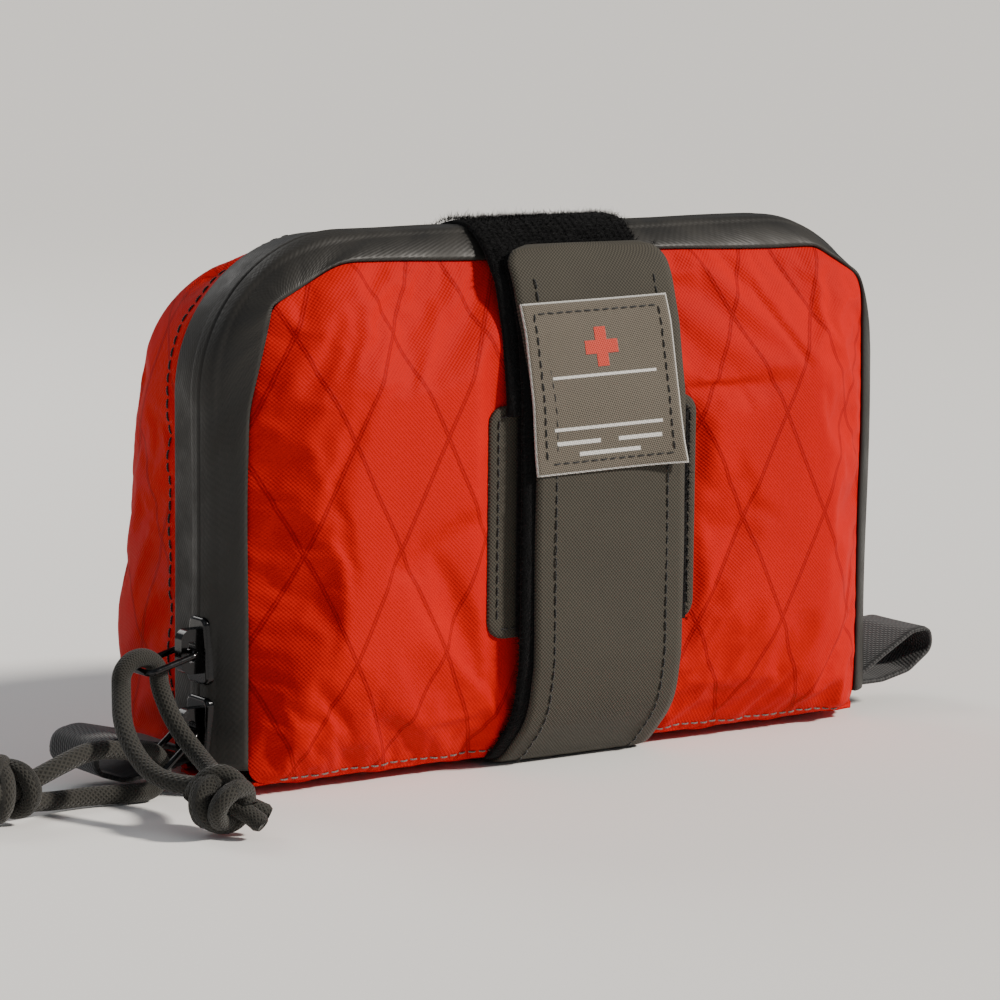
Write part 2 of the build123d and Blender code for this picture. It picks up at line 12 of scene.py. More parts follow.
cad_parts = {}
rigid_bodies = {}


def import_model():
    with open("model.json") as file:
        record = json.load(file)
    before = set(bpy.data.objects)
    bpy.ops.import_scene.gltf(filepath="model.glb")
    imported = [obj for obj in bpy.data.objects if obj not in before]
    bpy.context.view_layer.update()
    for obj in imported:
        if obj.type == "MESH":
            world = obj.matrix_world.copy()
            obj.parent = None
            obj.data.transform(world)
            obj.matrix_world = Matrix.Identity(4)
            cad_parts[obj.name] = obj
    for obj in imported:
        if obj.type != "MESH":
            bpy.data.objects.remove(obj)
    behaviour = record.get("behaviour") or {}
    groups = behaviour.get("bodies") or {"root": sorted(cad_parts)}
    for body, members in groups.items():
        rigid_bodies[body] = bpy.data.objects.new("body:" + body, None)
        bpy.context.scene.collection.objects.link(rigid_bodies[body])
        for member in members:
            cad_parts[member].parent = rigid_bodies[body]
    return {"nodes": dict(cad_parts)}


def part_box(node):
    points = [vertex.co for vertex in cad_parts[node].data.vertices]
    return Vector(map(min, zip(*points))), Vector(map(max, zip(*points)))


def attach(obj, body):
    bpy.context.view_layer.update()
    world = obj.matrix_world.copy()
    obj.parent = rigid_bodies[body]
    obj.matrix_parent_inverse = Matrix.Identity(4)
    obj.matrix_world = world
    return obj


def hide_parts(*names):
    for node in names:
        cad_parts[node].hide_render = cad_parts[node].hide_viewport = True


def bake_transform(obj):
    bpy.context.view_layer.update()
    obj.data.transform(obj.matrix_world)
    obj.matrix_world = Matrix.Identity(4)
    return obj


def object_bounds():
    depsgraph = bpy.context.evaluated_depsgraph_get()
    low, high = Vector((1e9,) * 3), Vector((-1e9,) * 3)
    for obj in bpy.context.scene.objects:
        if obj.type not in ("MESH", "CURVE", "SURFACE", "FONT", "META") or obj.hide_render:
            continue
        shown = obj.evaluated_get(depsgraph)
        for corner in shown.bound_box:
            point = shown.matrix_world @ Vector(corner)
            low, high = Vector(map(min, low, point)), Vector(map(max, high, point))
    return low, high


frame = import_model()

cad_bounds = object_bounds()
rng = np.random.default_rng(7)
mm = 0.001

# ------------------------------------------------------------------ shared sizes (mm)
ZIP_Y, SEAM_Y, BACK_SEAM_Y = -15.8, -25.3, -4.0
FRONT_Y, BACK_Y, BOTTOM = -35.3, 39.2, 2.8
HALF, ZIP_TOP, LID_HALF = 97.0, 127.5, 89.5
CLOTH_Y, PILE_Y, LOOP_Y = -40.5, -39.2, -37.4
CORD_R = 2.2  # half the width of the pull cords
ZIP_CORNER = 36.0  # radius of the zipper's upper corners
BACK_TAPER = 7.5  # how much narrower each side is at the back than at the zipper
STRAP_W, PILE_AND_SHADE_W, PILE_AND_SHADE_X = 43.5, 44.8, -2.6  # the hook strap and its backing, with the backing's middle; the backing reaches past the strap's left edge as a black strip, partly pile and partly painted shade
LOOP_W, LOOP_X = 44.5, -5.8  # the loop strap and its middle
STITCH_X = 16.4  # each row of stitches along the straps
PAD_X = -1.8  # middle of the sewn pad


# ------------------------------------------------------------------ camera
target = Vector((-0.0095, -0.0083, 0.06126))
place = Vector((-0.54175, -0.76337, 0.19109))
cam = bpy.data.objects.new("camera", bpy.data.cameras.new("camera"))
bpy.context.scene.collection.objects.link(cam)
cam.location = place
look = (target - place).to_track_quat("-Z", "Y").to_matrix().to_4x4()
cam.matrix_world = Matrix.Translation(place) @ look @ Matrix.Rotation(math.radians(0.61), 4, "Z")
cam.data.lens = 138.46
cam.data.sensor_width = 36
cam.data.clip_end = 50
bpy.context.scene.camera = cam


# ------------------------------------------------------------------ node helpers
def new_mat(name, color, rough, metal=0.0, sheen=0.0, coat=0.0, spec=0.5):
    """A material with its even values on the shader's own sockets."""
    m = bpy.data.materials.new(name)
    m.use_nodes = True
    b = m.node_tree.nodes["Principled BSDF"]
    b.inputs["Base Color"].default_value = (*color, 1)
    b.inputs["Roughness"].default_value = rough
    b.inputs["Metallic"].default_value = metal
    b.inputs["Sheen Weight"].default_value = sheen
    b.inputs["Coat Weight"].default_value = coat
    b.inputs["Specular IOR Level"].default_value = spec
    return m


class Nodes:
    """A small writer for a material's node tree."""

    def __init__(self, m):
        self.t = m.node_tree
        self.b = self.t.nodes["Principled BSDF"]

    def add(self, kind, **values):
        n = self.t.nodes.new(kind)
        for k, v in values.items():
            if hasattr(n, k):
                setattr(n, k, v)
            else:
                n.inputs[k.replace("_", " ")].default_value = v
        return n

    def link(self, a, b):
        self.t.links.new(a, b)

    def to(self, socket, value):
        """Feeds one socket of the shader."""
        self.link(value, self.b.inputs[socket])

    def math(self, op, a, b=None, c=None):
        n = self.t.nodes.new("ShaderNodeMath")
        n.operation = op
        for i, v in enumerate((a, b, c)):
            if v is None:
                continue
            if isinstance(v, (int, float)):
                n.inputs[i].default_value = v
            else:
                self.link(v, n.inputs[i])
        return n.outputs[0]

    def uv(self):
        s = self.add("ShaderNodeSeparateXYZ")
        c = self.add("ShaderNodeTexCoord")
        self.link(c.outputs["UV"], s.inputs[0])
        return s.outputs[0], s.outputs[1], c.outputs["UV"]

    def mix(self, factor, a, b):
        n = self.add("ShaderNodeMix", data_type="RGBA")
        for i, v in ((0, factor), (6, a), (7, b)):
            if isinstance(v, (int, float)):
                n.inputs[i].default_value = v
            elif isinstance(v, tuple):
                n.inputs[i].default_value = (*v, 1)
            else:
                self.link(v, n.inputs[i])
        return n.outputs[2]

    def noise(self, vector, scale, detail=3.0, rough=0.5):
        n = self.add("ShaderNodeTexNoise", Scale=scale, Detail=detail, Roughness=rough)
        self.link(vector, n.inputs["Vector"])
        return n.outputs["Fac"]

    def ramp(self, value, lo, hi, a=0.0, b=1.0):
        n = self.add("ShaderNodeMapRange", interpolation_type="SMOOTHSTEP")
        self.link(value, n.inputs[0])
        for i, v in enumerate((lo, hi, a, b)):
            n.inputs[i + 1].default_value = v
        return n.outputs[0]

    def bump(self, height, distance, strength=1.0, after=None):
        n = self.add("ShaderNodeBump", Strength=strength, Distance=distance)
        self.link(height, n.inputs["Height"])
        if after is not None:
            self.link(after, n.inputs["Normal"])
        return n.outputs[0]

    def weave(self, u, v, period_u, period_v):
        """A plain weave's height: over and under threads of these periods, in metres."""
        a = self.math("SINE", self.math("MULTIPLY", u, math.tau / period_u))
        b = self.math("SINE", self.math("MULTIPLY", v, math.tau / period_v))
        return self.math("MULTIPLY_ADD", self.math("MULTIPLY", a, b), 0.5, 0.5)


def red_cloth(name):
    """Coated ripstop cloth: a fine weave with painted glints on its thread tops, dark crossed threads in tall
    diamonds, soft mottling.
    """
    cross = (-0.0687, 0.0814)  # one place where two threads cross
    m = new_mat(name, (0.6, 0.02, 0.01), 0.65, spec=0.07)
    n = Nodes(m)
    u, v, uv = n.uv()
    tilt, gap = math.radians(26.3), 0.0220
    lines = None
    for sign in (-1, 1):
        cu, cv = math.cos(tilt), sign * math.sin(tilt)
        across = n.math("ADD", n.math("MULTIPLY", u, cu), n.math("MULTIPLY", v, cv))
        start = (-(cross[0] * cu + cross[1] * cv)) % gap
        folded = n.math("PINGPONG", n.math("ADD", across, start + 40 * gap), gap / 2)
        away = n.math("ABSOLUTE", n.math("SUBTRACT", folded, 0.00030))
        mask = n.ramp(away, 0.00008, 0.00034, 1.0, 0.0)
        lines = mask if lines is None else n.math("MAXIMUM", lines, mask)
    soft = n.noise(uv, 45, 3)
    fine = n.noise(uv, 1100, 2)
    weave = n.weave(u, v, 0.00095, 0.00095)
    base = n.mix(soft, (0.40, 0.0022, 0.0020), (0.60, 0.0055, 0.0032))
    base = n.mix(n.math("MULTIPLY", fine, 0.30), base, (0.22, 0.002, 0.002))
    # Painted glints: the weave's thread tops are painted a lighter red, over the real thread texture.
    base = n.mix(n.math("MULTIPLY", weave, 0.12), base, (0.85, 0.022, 0.010))
    base = n.mix(n.math("MULTIPLY", lines, 0.42), base, (0.085, 0.003, 0.004))
    n.to("Base Color", base)
    n.to("Roughness", n.ramp(soft, 0.2, 0.8, 0.56, 0.72))
    first = n.bump(weave, 0.00014, 0.7)
    second = n.bump(lines, 0.00018, 0.3, first)
    crease = n.noise(uv, 120, 4, 0.6)
    n.to("Normal", n.bump(crease, 0.0006, 0.35, second))
    return m


def woven(name, low, high, period=0.0009, rough=0.75, sheen=0.2, twill=False, bump=0.00018):
    """Plain or twill weave between two colours."""
    m = new_mat(name, high, rough, sheen=sheen, spec=0.3)
    n = Nodes(m)
    u, v, uv = n.uv()
    if twill:
        d = n.math("ADD", n.math("MULTIPLY", u, 0.7), n.math("MULTIPLY", v, 0.7))
        e = n.math("SUBTRACT", n.math("MULTIPLY", u, 0.7), n.math("MULTIPLY", v, 0.7))
        weave = n.weave(d, e, period, period * 2.2)
    else:
        weave = n.weave(u, v, period, period)
    soft = n.noise(uv, 60, 3)
    base = n.mix(weave, low, high)
    base = n.mix(n.math("MULTIPLY", soft, 0.35), base, tuple(c * 0.6 for c in low))
    n.to("Base Color", base)
    n.to("Normal", n.bump(weave, bump, 0.8, n.bump(soft, 0.0006, 0.3)))
    return m


def band_mat(name):
    """Zipper tape: near-black, finely knitted, with scuffs."""
    m = new_mat(name, (0.016, 0.016, 0.015), 0.55, spec=0.35)
    n = Nodes(m)
    u, v, uv = n.uv()
    ribs = n.weave(u, v, 0.0010, 0.0016)
    soft = n.noise(uv, 90, 4, 0.6)
    base = n.mix(soft, (0.0080, 0.0078, 0.0075), (0.026, 0.0235, 0.0195))
    n.to("Base Color", base)
    n.to("Roughness", n.ramp(soft, 0.3, 0.75, 0.46, 0.68))
    n.to("Normal", n.bump(ribs, 0.00007, 0.6, n.bump(soft, 0.0010, 0.35)))
    return m


def pile_mat(name):
    """Loop tape: black curls with almost no shine."""
    m = new_mat(name, (0.006, 0.006, 0.006), 0.95, sheen=0.04, spec=0.04)
    n = Nodes(m)
    u, v, uv = n.uv()
    curls = n.noise(uv, 1500, 3, 0.7)
    tufts = n.noise(uv, 420, 2)
    n.to("Base Color", n.mix(curls, (0.0015, 0.0015, 0.0018), (0.011, 0.011, 0.0115)))
    n.to("Normal", n.bump(curls, 0.0009, 1.0, n.bump(tufts, 0.0012, 0.7)))
    return m


def braid_mat(name, along, around, space, speckle, depth):
    """Braided cord: two families of strands cross on the slant, in radians per unit of V and of U."""
    m = new_mat(name, (0.03, 0.028, 0.023), 0.78, sheen=0.12, spec=0.25)
    n = Nodes(m)
    u, v, uv = n.uv()
    u, v = n.math("MULTIPLY", u, along), n.math("MULTIPLY", v, around)
    a = n.math("SINE", n.math("ADD", u, v))
    b = n.math("SINE", n.math("SUBTRACT", u, v))
    knit = n.math("MULTIPLY_ADD", n.math("MAXIMUM", a, b), 0.5, 0.5)
    soft = n.noise(n.add("ShaderNodeTexCoord").outputs[space], speckle, 2)
    base = n.mix(knit, (0.004, 0.004, 0.0035), (0.031, 0.029, 0.0235))
    base = n.mix(n.math("MULTIPLY", soft, 0.4), base, (0.018, 0.017, 0.014))
    n.to("Base Color", base)
    n.to("Normal", n.bump(knit, depth, 0.8))
    return m


def label_mat(name):
    """Woven label: twill ground, light edge, and a plain cross over plain bars."""
    m = new_mat(name, (0.16, 0.145, 0.12), 0.8, sheen=0.2, spec=0.25)
    n = Nodes(m)
    u, v, uv = n.uv()
    twill = n.weave(n.math("ADD", u, v), n.math("SUBTRACT", u, v), 0.0008, 0.0016)
    soft = n.noise(uv, 200, 3)

    def box_mask(cu, cv, hu, hv):
        du = n.math("ABSOLUTE", n.math("SUBTRACT", u, cu))
        dv = n.math("ABSOLUTE", n.math("SUBTRACT", v, cv))
        soft_edge = 0.00012
        return n.math("MULTIPLY", n.ramp(du, hu - soft_edge, hu + soft_edge, 1, 0),
                      n.ramp(dv, hv - soft_edge, hv + soft_edge, 1, 0))

    def union(*masks):
        out = masks[0]
        for k in masks[1:]:
            out = n.math("MAXIMUM", out, k)
        return out

    white = union(
        box_mask(0, 0.0225, 0.0145, 0.00035), box_mask(0, 0.0105, 0.0150, 0.0004),
        box_mask(-0.0085, 0.0072, 0.0060, 0.0005), box_mask(0.0085, 0.0072, 0.0060, 0.0005),
        box_mask(0, 0.0044, 0.0085, 0.0005),
    )
    red = union(box_mask(0, 0.0290, 0.0016, 0.0046), box_mask(0, 0.0290, 0.0046, 0.0016))
    edge = n.math("MAXIMUM", n.ramp(n.math("ABSOLUTE", u), 0.0200, 0.0202, 0, 1),
                  n.ramp(n.math("ABSOLUTE", n.math("SUBTRACT", v, 0.0200)), 0.0195, 0.0197, 0, 1))
    base = n.mix(twill, (0.048, 0.040, 0.030), (0.175, 0.150, 0.115))
    base = n.mix(n.math("MULTIPLY", soft, 0.3), base, (0.085, 0.073, 0.056))
    base = n.mix(white, base, (0.62, 0.61, 0.58))
    base = n.mix(red, base, (0.52, 0.05, 0.03))
    base = n.mix(edge, base, (0.50, 0.49, 0.46))
    n.to("Base Color", base)
    height = n.math("ADD", twill, n.math("MULTIPLY", union(white, red), 1.2))
    n.to("Normal", n.bump(height, 0.00022, 0.9))
    return m


M = {
    "red": red_cloth("red_cloth"),
    "band": band_mat("zipper_band"),
    "strap": woven("strap_cloth", (0.016, 0.0138, 0.0098), (0.074, 0.065, 0.047), 0.0009, 0.78, sheen=0.05),
    "pile": pile_mat("loop_pile"),
    "webbing": woven("webbing", (0.004, 0.004, 0.005), (0.022, 0.022, 0.023), 0.0010, 0.6,
                     twill=True, bump=0.00016),
    "thread_black": woven("thread_black", (0.004, 0.004, 0.004), (0.02, 0.02, 0.02), 0.0006),
    "thread_grey": woven("thread_grey", (0.10, 0.095, 0.085), (0.2, 0.19, 0.17), 0.0006),
    "cord": braid_mat("cord_braid", math.tau / 0.0011, math.tau / 0.0011, "UV", 700, 0.00022),
    "cord_curve": braid_mat("cord_braid_curve", math.tau * 84, math.tau * 11, "Object", 900, 0.00024),
    "label": label_mat("label_weave"),
    "lining": woven("lining", (0.05, 0.052, 0.056), (0.11, 0.112, 0.118), 0.0009),
    "binding": woven("binding", (0.006, 0.006, 0.007), (0.03, 0.03, 0.032), 0.0014, twill=True, bump=0.0003),
    "gauze": woven("gauze", (0.55, 0.55, 0.52), (0.85, 0.85, 0.82), 0.0016, 0.9, bump=0.0005),
    "bandage": woven("bandage", (0.42, 0.30, 0.20), (0.66, 0.52, 0.38), 0.0022, 0.9, bump=0.0006),
    "tape_white": woven("tape_white", (0.7, 0.69, 0.66), (0.86, 0.85, 0.82), 0.0012, 0.7),
}


def metal_mat(name, color, rough, metal=1.0):
    """Metal or hard plastic, duller and lighter where it is worn."""
    m = new_mat(name, color, rough, metal=metal, coat=0.3)
    n = Nodes(m)
    c = n.add("ShaderNodeTexCoord")
    worn = n.noise(c.outputs["Object"], 260, 4, 0.65)
    n.to("Roughness", n.ramp(worn, 0.45, 0.75, rough * 0.8, min(1, rough * 1.7)))
    rubbed = tuple(min(1, c * 3 + 0.01) for c in color)
    n.to("Base Color", n.mix(n.ramp(worn, 0.62, 0.8), color, rubbed))
    n.to("Normal", n.bump(worn, 0.0001, 0.3))
    return m


def packet_mat(name, ground, ink, rough=0.4, metal=0.0):
    """A printed packet: crimped ends, plain coloured bands and wrinkles, no words."""
    m = new_mat(name, ground, rough, metal=metal)
    n = Nodes(m)
    u, v, uv = n.uv()
    u, v = n.math("ABSOLUTE", u), n.math("ABSOLUTE", v)

    def within(value, half):
        return n.ramp(value, half, half + 0.0002, 1, 0)

    stripe = within(n.math("ABSOLUTE", n.math("SUBTRACT", v, 0.013)), 0.0018)
    bar = n.math("MULTIPLY", within(u, 0.0022), within(v, 0.0066))
    bar2 = n.math("MULTIPLY", within(u, 0.0066), within(v, 0.0022))
    wrinkle = n.noise(uv, 160, 4, 0.6)
    base = n.mix(n.math("MAXIMUM", stripe, n.math("MAXIMUM", bar, bar2)), ground, ink)
    base = n.mix(n.math("MULTIPLY", wrinkle, 0.25), base, tuple(c * 0.75 for c in ground))
    n.to("Base Color", base)
    n.to("Normal", n.bump(wrinkle, 0.0012, 0.6))
    return m


M["black_metal"] = metal_mat("black_metal", (0.02, 0.02, 0.021), 0.26)
M["steel"] = metal_mat("steel", (0.55, 0.55, 0.57), 0.3)
M["paper"] = packet_mat("packet_paper", (0.80, 0.81, 0.80), (0.10, 0.24, 0.45), 0.6)
M["wipes"] = packet_mat("packet_wipes", (0.78, 0.80, 0.82), (0.06, 0.33, 0.30), 0.35)
M["film"] = packet_mat("packet_film", (0.62, 0.66, 0.68), (0.12, 0.26, 0.52), 0.18)
M["foil"] = packet_mat("packet_foil", (0.80, 0.79, 0.76), (0.62, 0.58, 0.40), 0.22, 0.9)


# ------------------------------------------------------------------ mesh helpers
def make(name, verts, faces, mat, uvs=None, smooth=True):
    """A mesh object from vertices and UVs in metres."""
    me = bpy.data.meshes.new(name)
    me.from_pydata([tuple(v) for v in verts], [], [tuple(int(i) for i in f) for f in faces])
    if uvs is not None:
        layer = me.uv_layers.new(name="UVMap")
        loops = np.zeros(len(me.loops), np.int32)
        me.loops.foreach_get("vertex_index", loops)
        layer.data.foreach_set("uv", np.asarray(uvs, np.float32)[loops].ravel())
    me.materials.append(mat)
    if smooth:
        me.polygons.foreach_set("use_smooth", [True] * len(me.polygons))
    me.update()
    o = bpy.data.objects.new(name, me)
    bpy.context.scene.collection.objects.link(o)
    return o


def grid_faces(nu, nv, close_u=False, close_v=False, start=0):
    """Quads of a grid stored row by row: index = u * nv + v."""
    faces = []
    for i in range(nu if close_u else nu - 1):
        for j in range(nv if close_v else nv - 1):
            a, b = i, (i + 1) % nu
            c, d = j, (j + 1) % nv
            faces.append((start + a * nv + c, start + b * nv + c, start + b * nv + d, start + a * nv + d))
    return faces


def rounded(points, radius):
    """Points in any dimension with each corner replaced by a curve as wide as the runs allow."""
    p = [np.array(q, float) for q in points]
    out = [p[0]]
    for a, b, c in zip(p, p[1:], p[2:]):
        d1, d2 = a - b, c - b
        l1, l2 = np.linalg.norm(d1), np.linalg.norm(d2)
        cosine = np.clip(-(d1 @ d2) / (l1 * l2), -1, 1)
        turn = math.acos(cosine)
        reach = min(radius * math.tan(turn / 2), 0.45 * min(l1, l2))
        s, e = b + d1 / l1 * reach, b + d2 / l2 * reach
        for k in range(8):
            t = k / 7
            out.append((1 - t) ** 2 * s + 2 * t * (1 - t) * b + t * t * e)
    out.append(p[-1])
    return np.array(out)


def resample(points, step):
    """Evenly spaced points along a line, and how far along it each one is."""
    seg = np.linalg.norm(np.diff(points, axis=0), axis=1)
    keep = np.concatenate([[True], seg > 1e-9])
    points = points[keep]
    d = np.concatenate([[0], np.cumsum(np.linalg.norm(np.diff(points, axis=0), axis=1))])
    n = max(2, int(round(d[-1] / step)) + 1)
    s = np.linspace(0, d[-1], n)
    return np.stack([np.interp(s, d, points[:, k]) for k in range(points.shape[1])], axis=1), s


def ribbon(name, path_mm, width, thick, mat, radius=6, x=0.0, across=(1, 0, 0), nx=16, step=1.4,
           corner=0.0, wobble=0.0, edge_soft=0.35):
    """A flat strap of real thickness along a path (y, z) or (x, y, z), in mm. Its end can be rounded."""
    path = [(x, *p) if len(p) == 2 else p for p in path_mm]
    pts, s = resample(rounded(path, radius), step)
    tang = np.gradient(pts, axis=0)
    tang /= np.linalg.norm(tang, axis=1)[:, None]
    side = np.tile(np.array(across, float), (len(pts), 1))
    norm = np.cross(side, tang)
    norm /= np.linalg.norm(norm, axis=1)[:, None]
    total = s[-1]
    half_t = thick / 2
    ring = []
    for k in range(nx + 1):
        f = -1 + 2 * k / nx
        ring.append((f, 1))
    for k in range(nx + 1):
        f = 1 - 2 * k / nx
        ring.append((f, -1))
    verts, uvs = [], []
    phase = rng.uniform(0, 6, 4)
    for i, (p, t, n_, sd) in enumerate(zip(pts, tang, norm, side)):
        left = total - s[i]
        half_w = width / 2
        if corner and left < corner:
            half_w = width / 2 - corner + math.sqrt(max(corner ** 2 - (corner - left) ** 2, 0.01))
        for f, top in ring:
            round_off = 1 - edge_soft * max(0, abs(f) - 0.9) / 0.1
            off = wobble * (math.sin(s[i] / 9 + phase[0]) * f + 0.6 * math.sin(s[i] / 5.1 + phase[1] + 2 * f))
            verts.append((p + sd * f * half_w + n_ * (top * half_t * round_off + off)) * mm)
            uvs.append((f * width / 2 * mm, s[i] * mm))
    m_ = len(ring)
    faces = grid_faces(len(pts), m_, close_v=True)
    faces.append(tuple(range(m_)))
    faces.append(tuple(reversed(range((len(pts) - 1) * m_, len(pts) * m_))))
    o = make(name, verts, faces, mat, uvs)
    return o, pts, norm, s


def tube(name, pts, radius, mat, sides=8, closed=False):
    """A tube along points in metres, with UVs in metres along and around it."""
    pts = np.asarray(pts, float)
    n = len(pts)
    tang = np.roll(pts, -1, 0) - np.roll(pts, 1, 0) if closed else np.gradient(pts, axis=0)
    tang /= np.linalg.norm(tang, axis=1)[:, None]
    ref = np.array([0, 0, 1.0]) if abs(tang[0][2]) < 0.9 else np.array([1.0, 0, 0])
    normals = []
    u = ref - tang[0] * (ref @ tang[0])
    u /= np.linalg.norm(u)
    for t in tang:
        u = u - t * (u @ t)
        u /= np.linalg.norm(u)
        normals.append(u.copy())
    s = np.concatenate([[0], np.cumsum(np.linalg.norm(np.diff(pts, axis=0), axis=1))])
    verts, uvs = [], []
    radii = radius if hasattr(radius, "__len__") else [radius] * n
    for i, r in enumerate(radii):
        w = np.cross(tang[i], normals[i])
        for k in range(sides):
            a = 2 * math.pi * k / sides
            verts.append(pts[i] + (normals[i] * math.cos(a) + w * math.sin(a)) * r)
            uvs.append((a * r, s[i]))
    faces = grid_faces(n, sides, close_u=closed, close_v=True)
    if not closed:
        faces.append(tuple(reversed(range(sides))))
        faces.append(tuple(range((n - 1) * sides, n * sides)))
    return make(name, verts, faces, mat, uvs)


def join(name, objects):
    """Several objects as one."""
    for o in bpy.context.selected_objects:
        o.select_set(False)
    for o in objects:
        o.select_set(True)
    bpy.context.view_layer.objects.active = objects[0]
    bpy.ops.object.join()
    o = bpy.context.view_layer.objects.active
    o.name = name
    o.select_set(False)
    return o


def stitches(name, pts, normals, mat, pitch=2.6, length=2.0, radius=0.22):
    """Separate thread stitches along points in metres; each dips into the cloth at both ends."""
    pts, normals = np.asarray(pts), np.asarray(normals)
    d = np.concatenate([[0], np.cumsum(np.linalg.norm(np.diff(pts, axis=0), axis=1))])
    verts, faces, uvs = [], [], []
    count = int(d[-1] / (pitch * mm))

    def at(place_, values):
        return np.array([np.interp(place_, d, values[:, k]) for k in range(3)])

    prof = [(-0.5, -0.9), (-0.38, 0.25), (0.0, 0.75), (0.38, 0.25), (0.5, -0.9)]
    for i in range(count):
        mid = (i + 0.5) * pitch * mm
        c = at(mid, pts)
        nrm = at(mid, normals)
        nrm /= np.linalg.norm(nrm)
        t = at(mid + 0.5 * mm, pts) - at(mid - 0.5 * mm, pts)
        t /= max(np.linalg.norm(t), 1e-9)
        w = np.cross(nrm, t)
        t = t + w * rng.normal(0, 0.05)
        base = len(verts)
        for f, h in prof:
            o = c + t * f * length * mm + nrm * (h * radius + 0.1) * mm
            for k in range(5):
                ang = 2 * math.pi * k / 5
                verts.append(o + (w * math.cos(ang) + nrm * math.sin(ang)) * radius * mm)
                uvs.append((k * radius * mm, f * length * mm))
        faces += grid_faces(len(prof), 5, close_v=True, start=base)
        faces.append(tuple(base + k for k in reversed(range(5))))
        faces.append(tuple(base + (len(prof) - 1) * 5 + k for k in range(5)))
    return make(name, verts, faces, mat, uvs)


def on_surface(o, pts, away):
    """Points moved to the nearest place on a mesh, with normals turned towards away(p)."""
    tree = BVHTree.FromObject(o, bpy.context.evaluated_depsgraph_get())
    got, nor = [], []
    for p in pts:
        q, n_, _, _ = tree.find_nearest(Vector(p))
        n_ = np.array(n_)
        if n_ @ np.asarray(away) < 0:
            n_ = -n_
        got.append(np.array(q))
        nor.append(n_)
    return np.array(got), np.array(nor)


def fuzz(name, pts, normals, count, length, mat, width=0.09, spread=0.9):
    """Loose fibres standing off a surface, each a thin bent blade."""
    idx = rng.integers(0, len(pts), count)
    verts, faces, uvs = [], [], []
    for i in idx:
        p, nrm = pts[i], normals[i]
        j = rng.normal(0, 1, 3)
        d = nrm + spread * j / np.linalg.norm(j)
        d /= np.linalg.norm(d)
        side = np.cross(d, rng.normal(0, 1, 3))
        side /= np.linalg.norm(side)
        L = length * rng.uniform(0.35, 1.0) * mm
        bend = rng.normal(0, 0.45, 3) * L
        a = p + rng.normal(0, 0.12 * mm, 3)
        b = a + d * L * 0.55 + bend * 0.35
        c = a + d * L * 0.9 + bend
        w = side * width * mm / 2
        k = len(verts)
        verts += [a - w, a + w, b - w * 0.8, b + w * 0.8, c]
        uvs += [(0, 0)] * 5
        faces += [(k, k + 1, k + 3, k + 2), (k + 2, k + 3, k + 4)]
    return make(name, verts, faces, mat, uvs, smooth=False)


def rim(w, low, top, r, foot=4.0):
    """Closed outline (x, z): up the left, over the top, down the right, back along the foot."""
    pts = []

    def seg(a, b, n):
        a, b = np.array(a), np.array(b)
        return [tuple(a + (b - a) * k / n) for k in range(n)]

    def arc(cx, cz, rr, a0, a1, n):
        turns = [math.radians(a0 + (a1 - a0) * k / n) for k in range(n)]
        return [(cx + rr * math.cos(a), cz + rr * math.sin(a)) for a in turns]

    pts += seg((-w, low + foot), (-w, top - r), 50)
    pts += arc(-w + r, top - r, r, 180, 90, 30)
    pts += seg((-w + r, top), (w - r, top), 70)
    pts += arc(w - r, top - r, r, 90, 0, 30)
    pts += seg((w, top - r), (w, low + foot), 50)
    pts += arc(w - foot, low + foot, foot, 0, -90, 4)
    pts += seg((w - foot, low), (-w + foot, low), 90)
    pts += arc(-w + foot, low + foot, foot, -90, -180, 4)
    return np.array(pts)


U = slice(0, 231)  # the part of a rim that the zipper follows


def drape(o, pinned, frames, pressure, shrink):
    """Runs a short cloth simulation on a piece, held at its pinned vertices, and keeps the result."""
    group = o.vertex_groups.new(name="pin")
    for i, w in pinned.items():
        group.add([int(i)], w, "REPLACE")
    mod = o.modifiers.new("cloth", "CLOTH")
    c = mod.settings
    c.quality = 6
    c.mass = 0.15
    c.tension_stiffness = c.compression_stiffness = 12
    c.shear_stiffness = 12 * 0.6
    c.bending_stiffness = 0.25
    c.tension_damping = c.compression_damping = 15
    c.air_damping = 3
    c.use_pressure = True
    c.uniform_pressure_force = pressure
    c.shrink_min = shrink
    c.vertex_group_mass = "pin"
    c.effector_weights.gravity = 0
    mod.collision_settings.use_collision = False
    mod.point_cache.frame_start, mod.point_cache.frame_end = 1, frames
    scene = bpy.context.scene
    for f in range(1, frames + 1):
        scene.frame_set(f)
    dg = bpy.context.evaluated_depsgraph_get()
    got = np.array([v.co for v in o.evaluated_get(dg).data.vertices])
    o.modifiers.clear()
    scene.frame_set(1)
    o.data.vertices.foreach_set("co", got.ravel())
    o.data.update()


def coords(o):
    """A mesh's vertices, in metres."""
    co = np.zeros(len(o.data.vertices) * 3)
    o.data.vertices.foreach_get("co", co)
    return co.reshape(-1, 3)


def put(o, co):
    """Gives a mesh's vertices new places, in metres."""
    o.data.vertices.foreach_set("co", np.asarray(co).ravel())
    o.data.update()


def refine(o):
    """One subdivision, applied."""
    mod = o.modifiers.new("smooth", "SUBSURF")
    mod.levels = mod.render_levels = 1
    bpy.context.view_layer.objects.active = o
    bpy.ops.object.modifier_apply(modifier="smooth")
    o.data.polygons.foreach_set("use_smooth", [True] * len(o.data.polygons))


def smooth_step(x):
    """From 0 to 1 with no corner, as x goes from 0 to 1."""
    x = np.clip(x, 0, 1)
    return x * x * (3 - 2 * x)


def thicken(o, thickness, offset=0):
    """Gives a sheet its real thickness, in mm; offset 0 grows it both ways."""
    solid = o.modifiers.new("thick", "SOLIDIFY")
    solid.thickness = thickness * mm
    solid.offset = offset


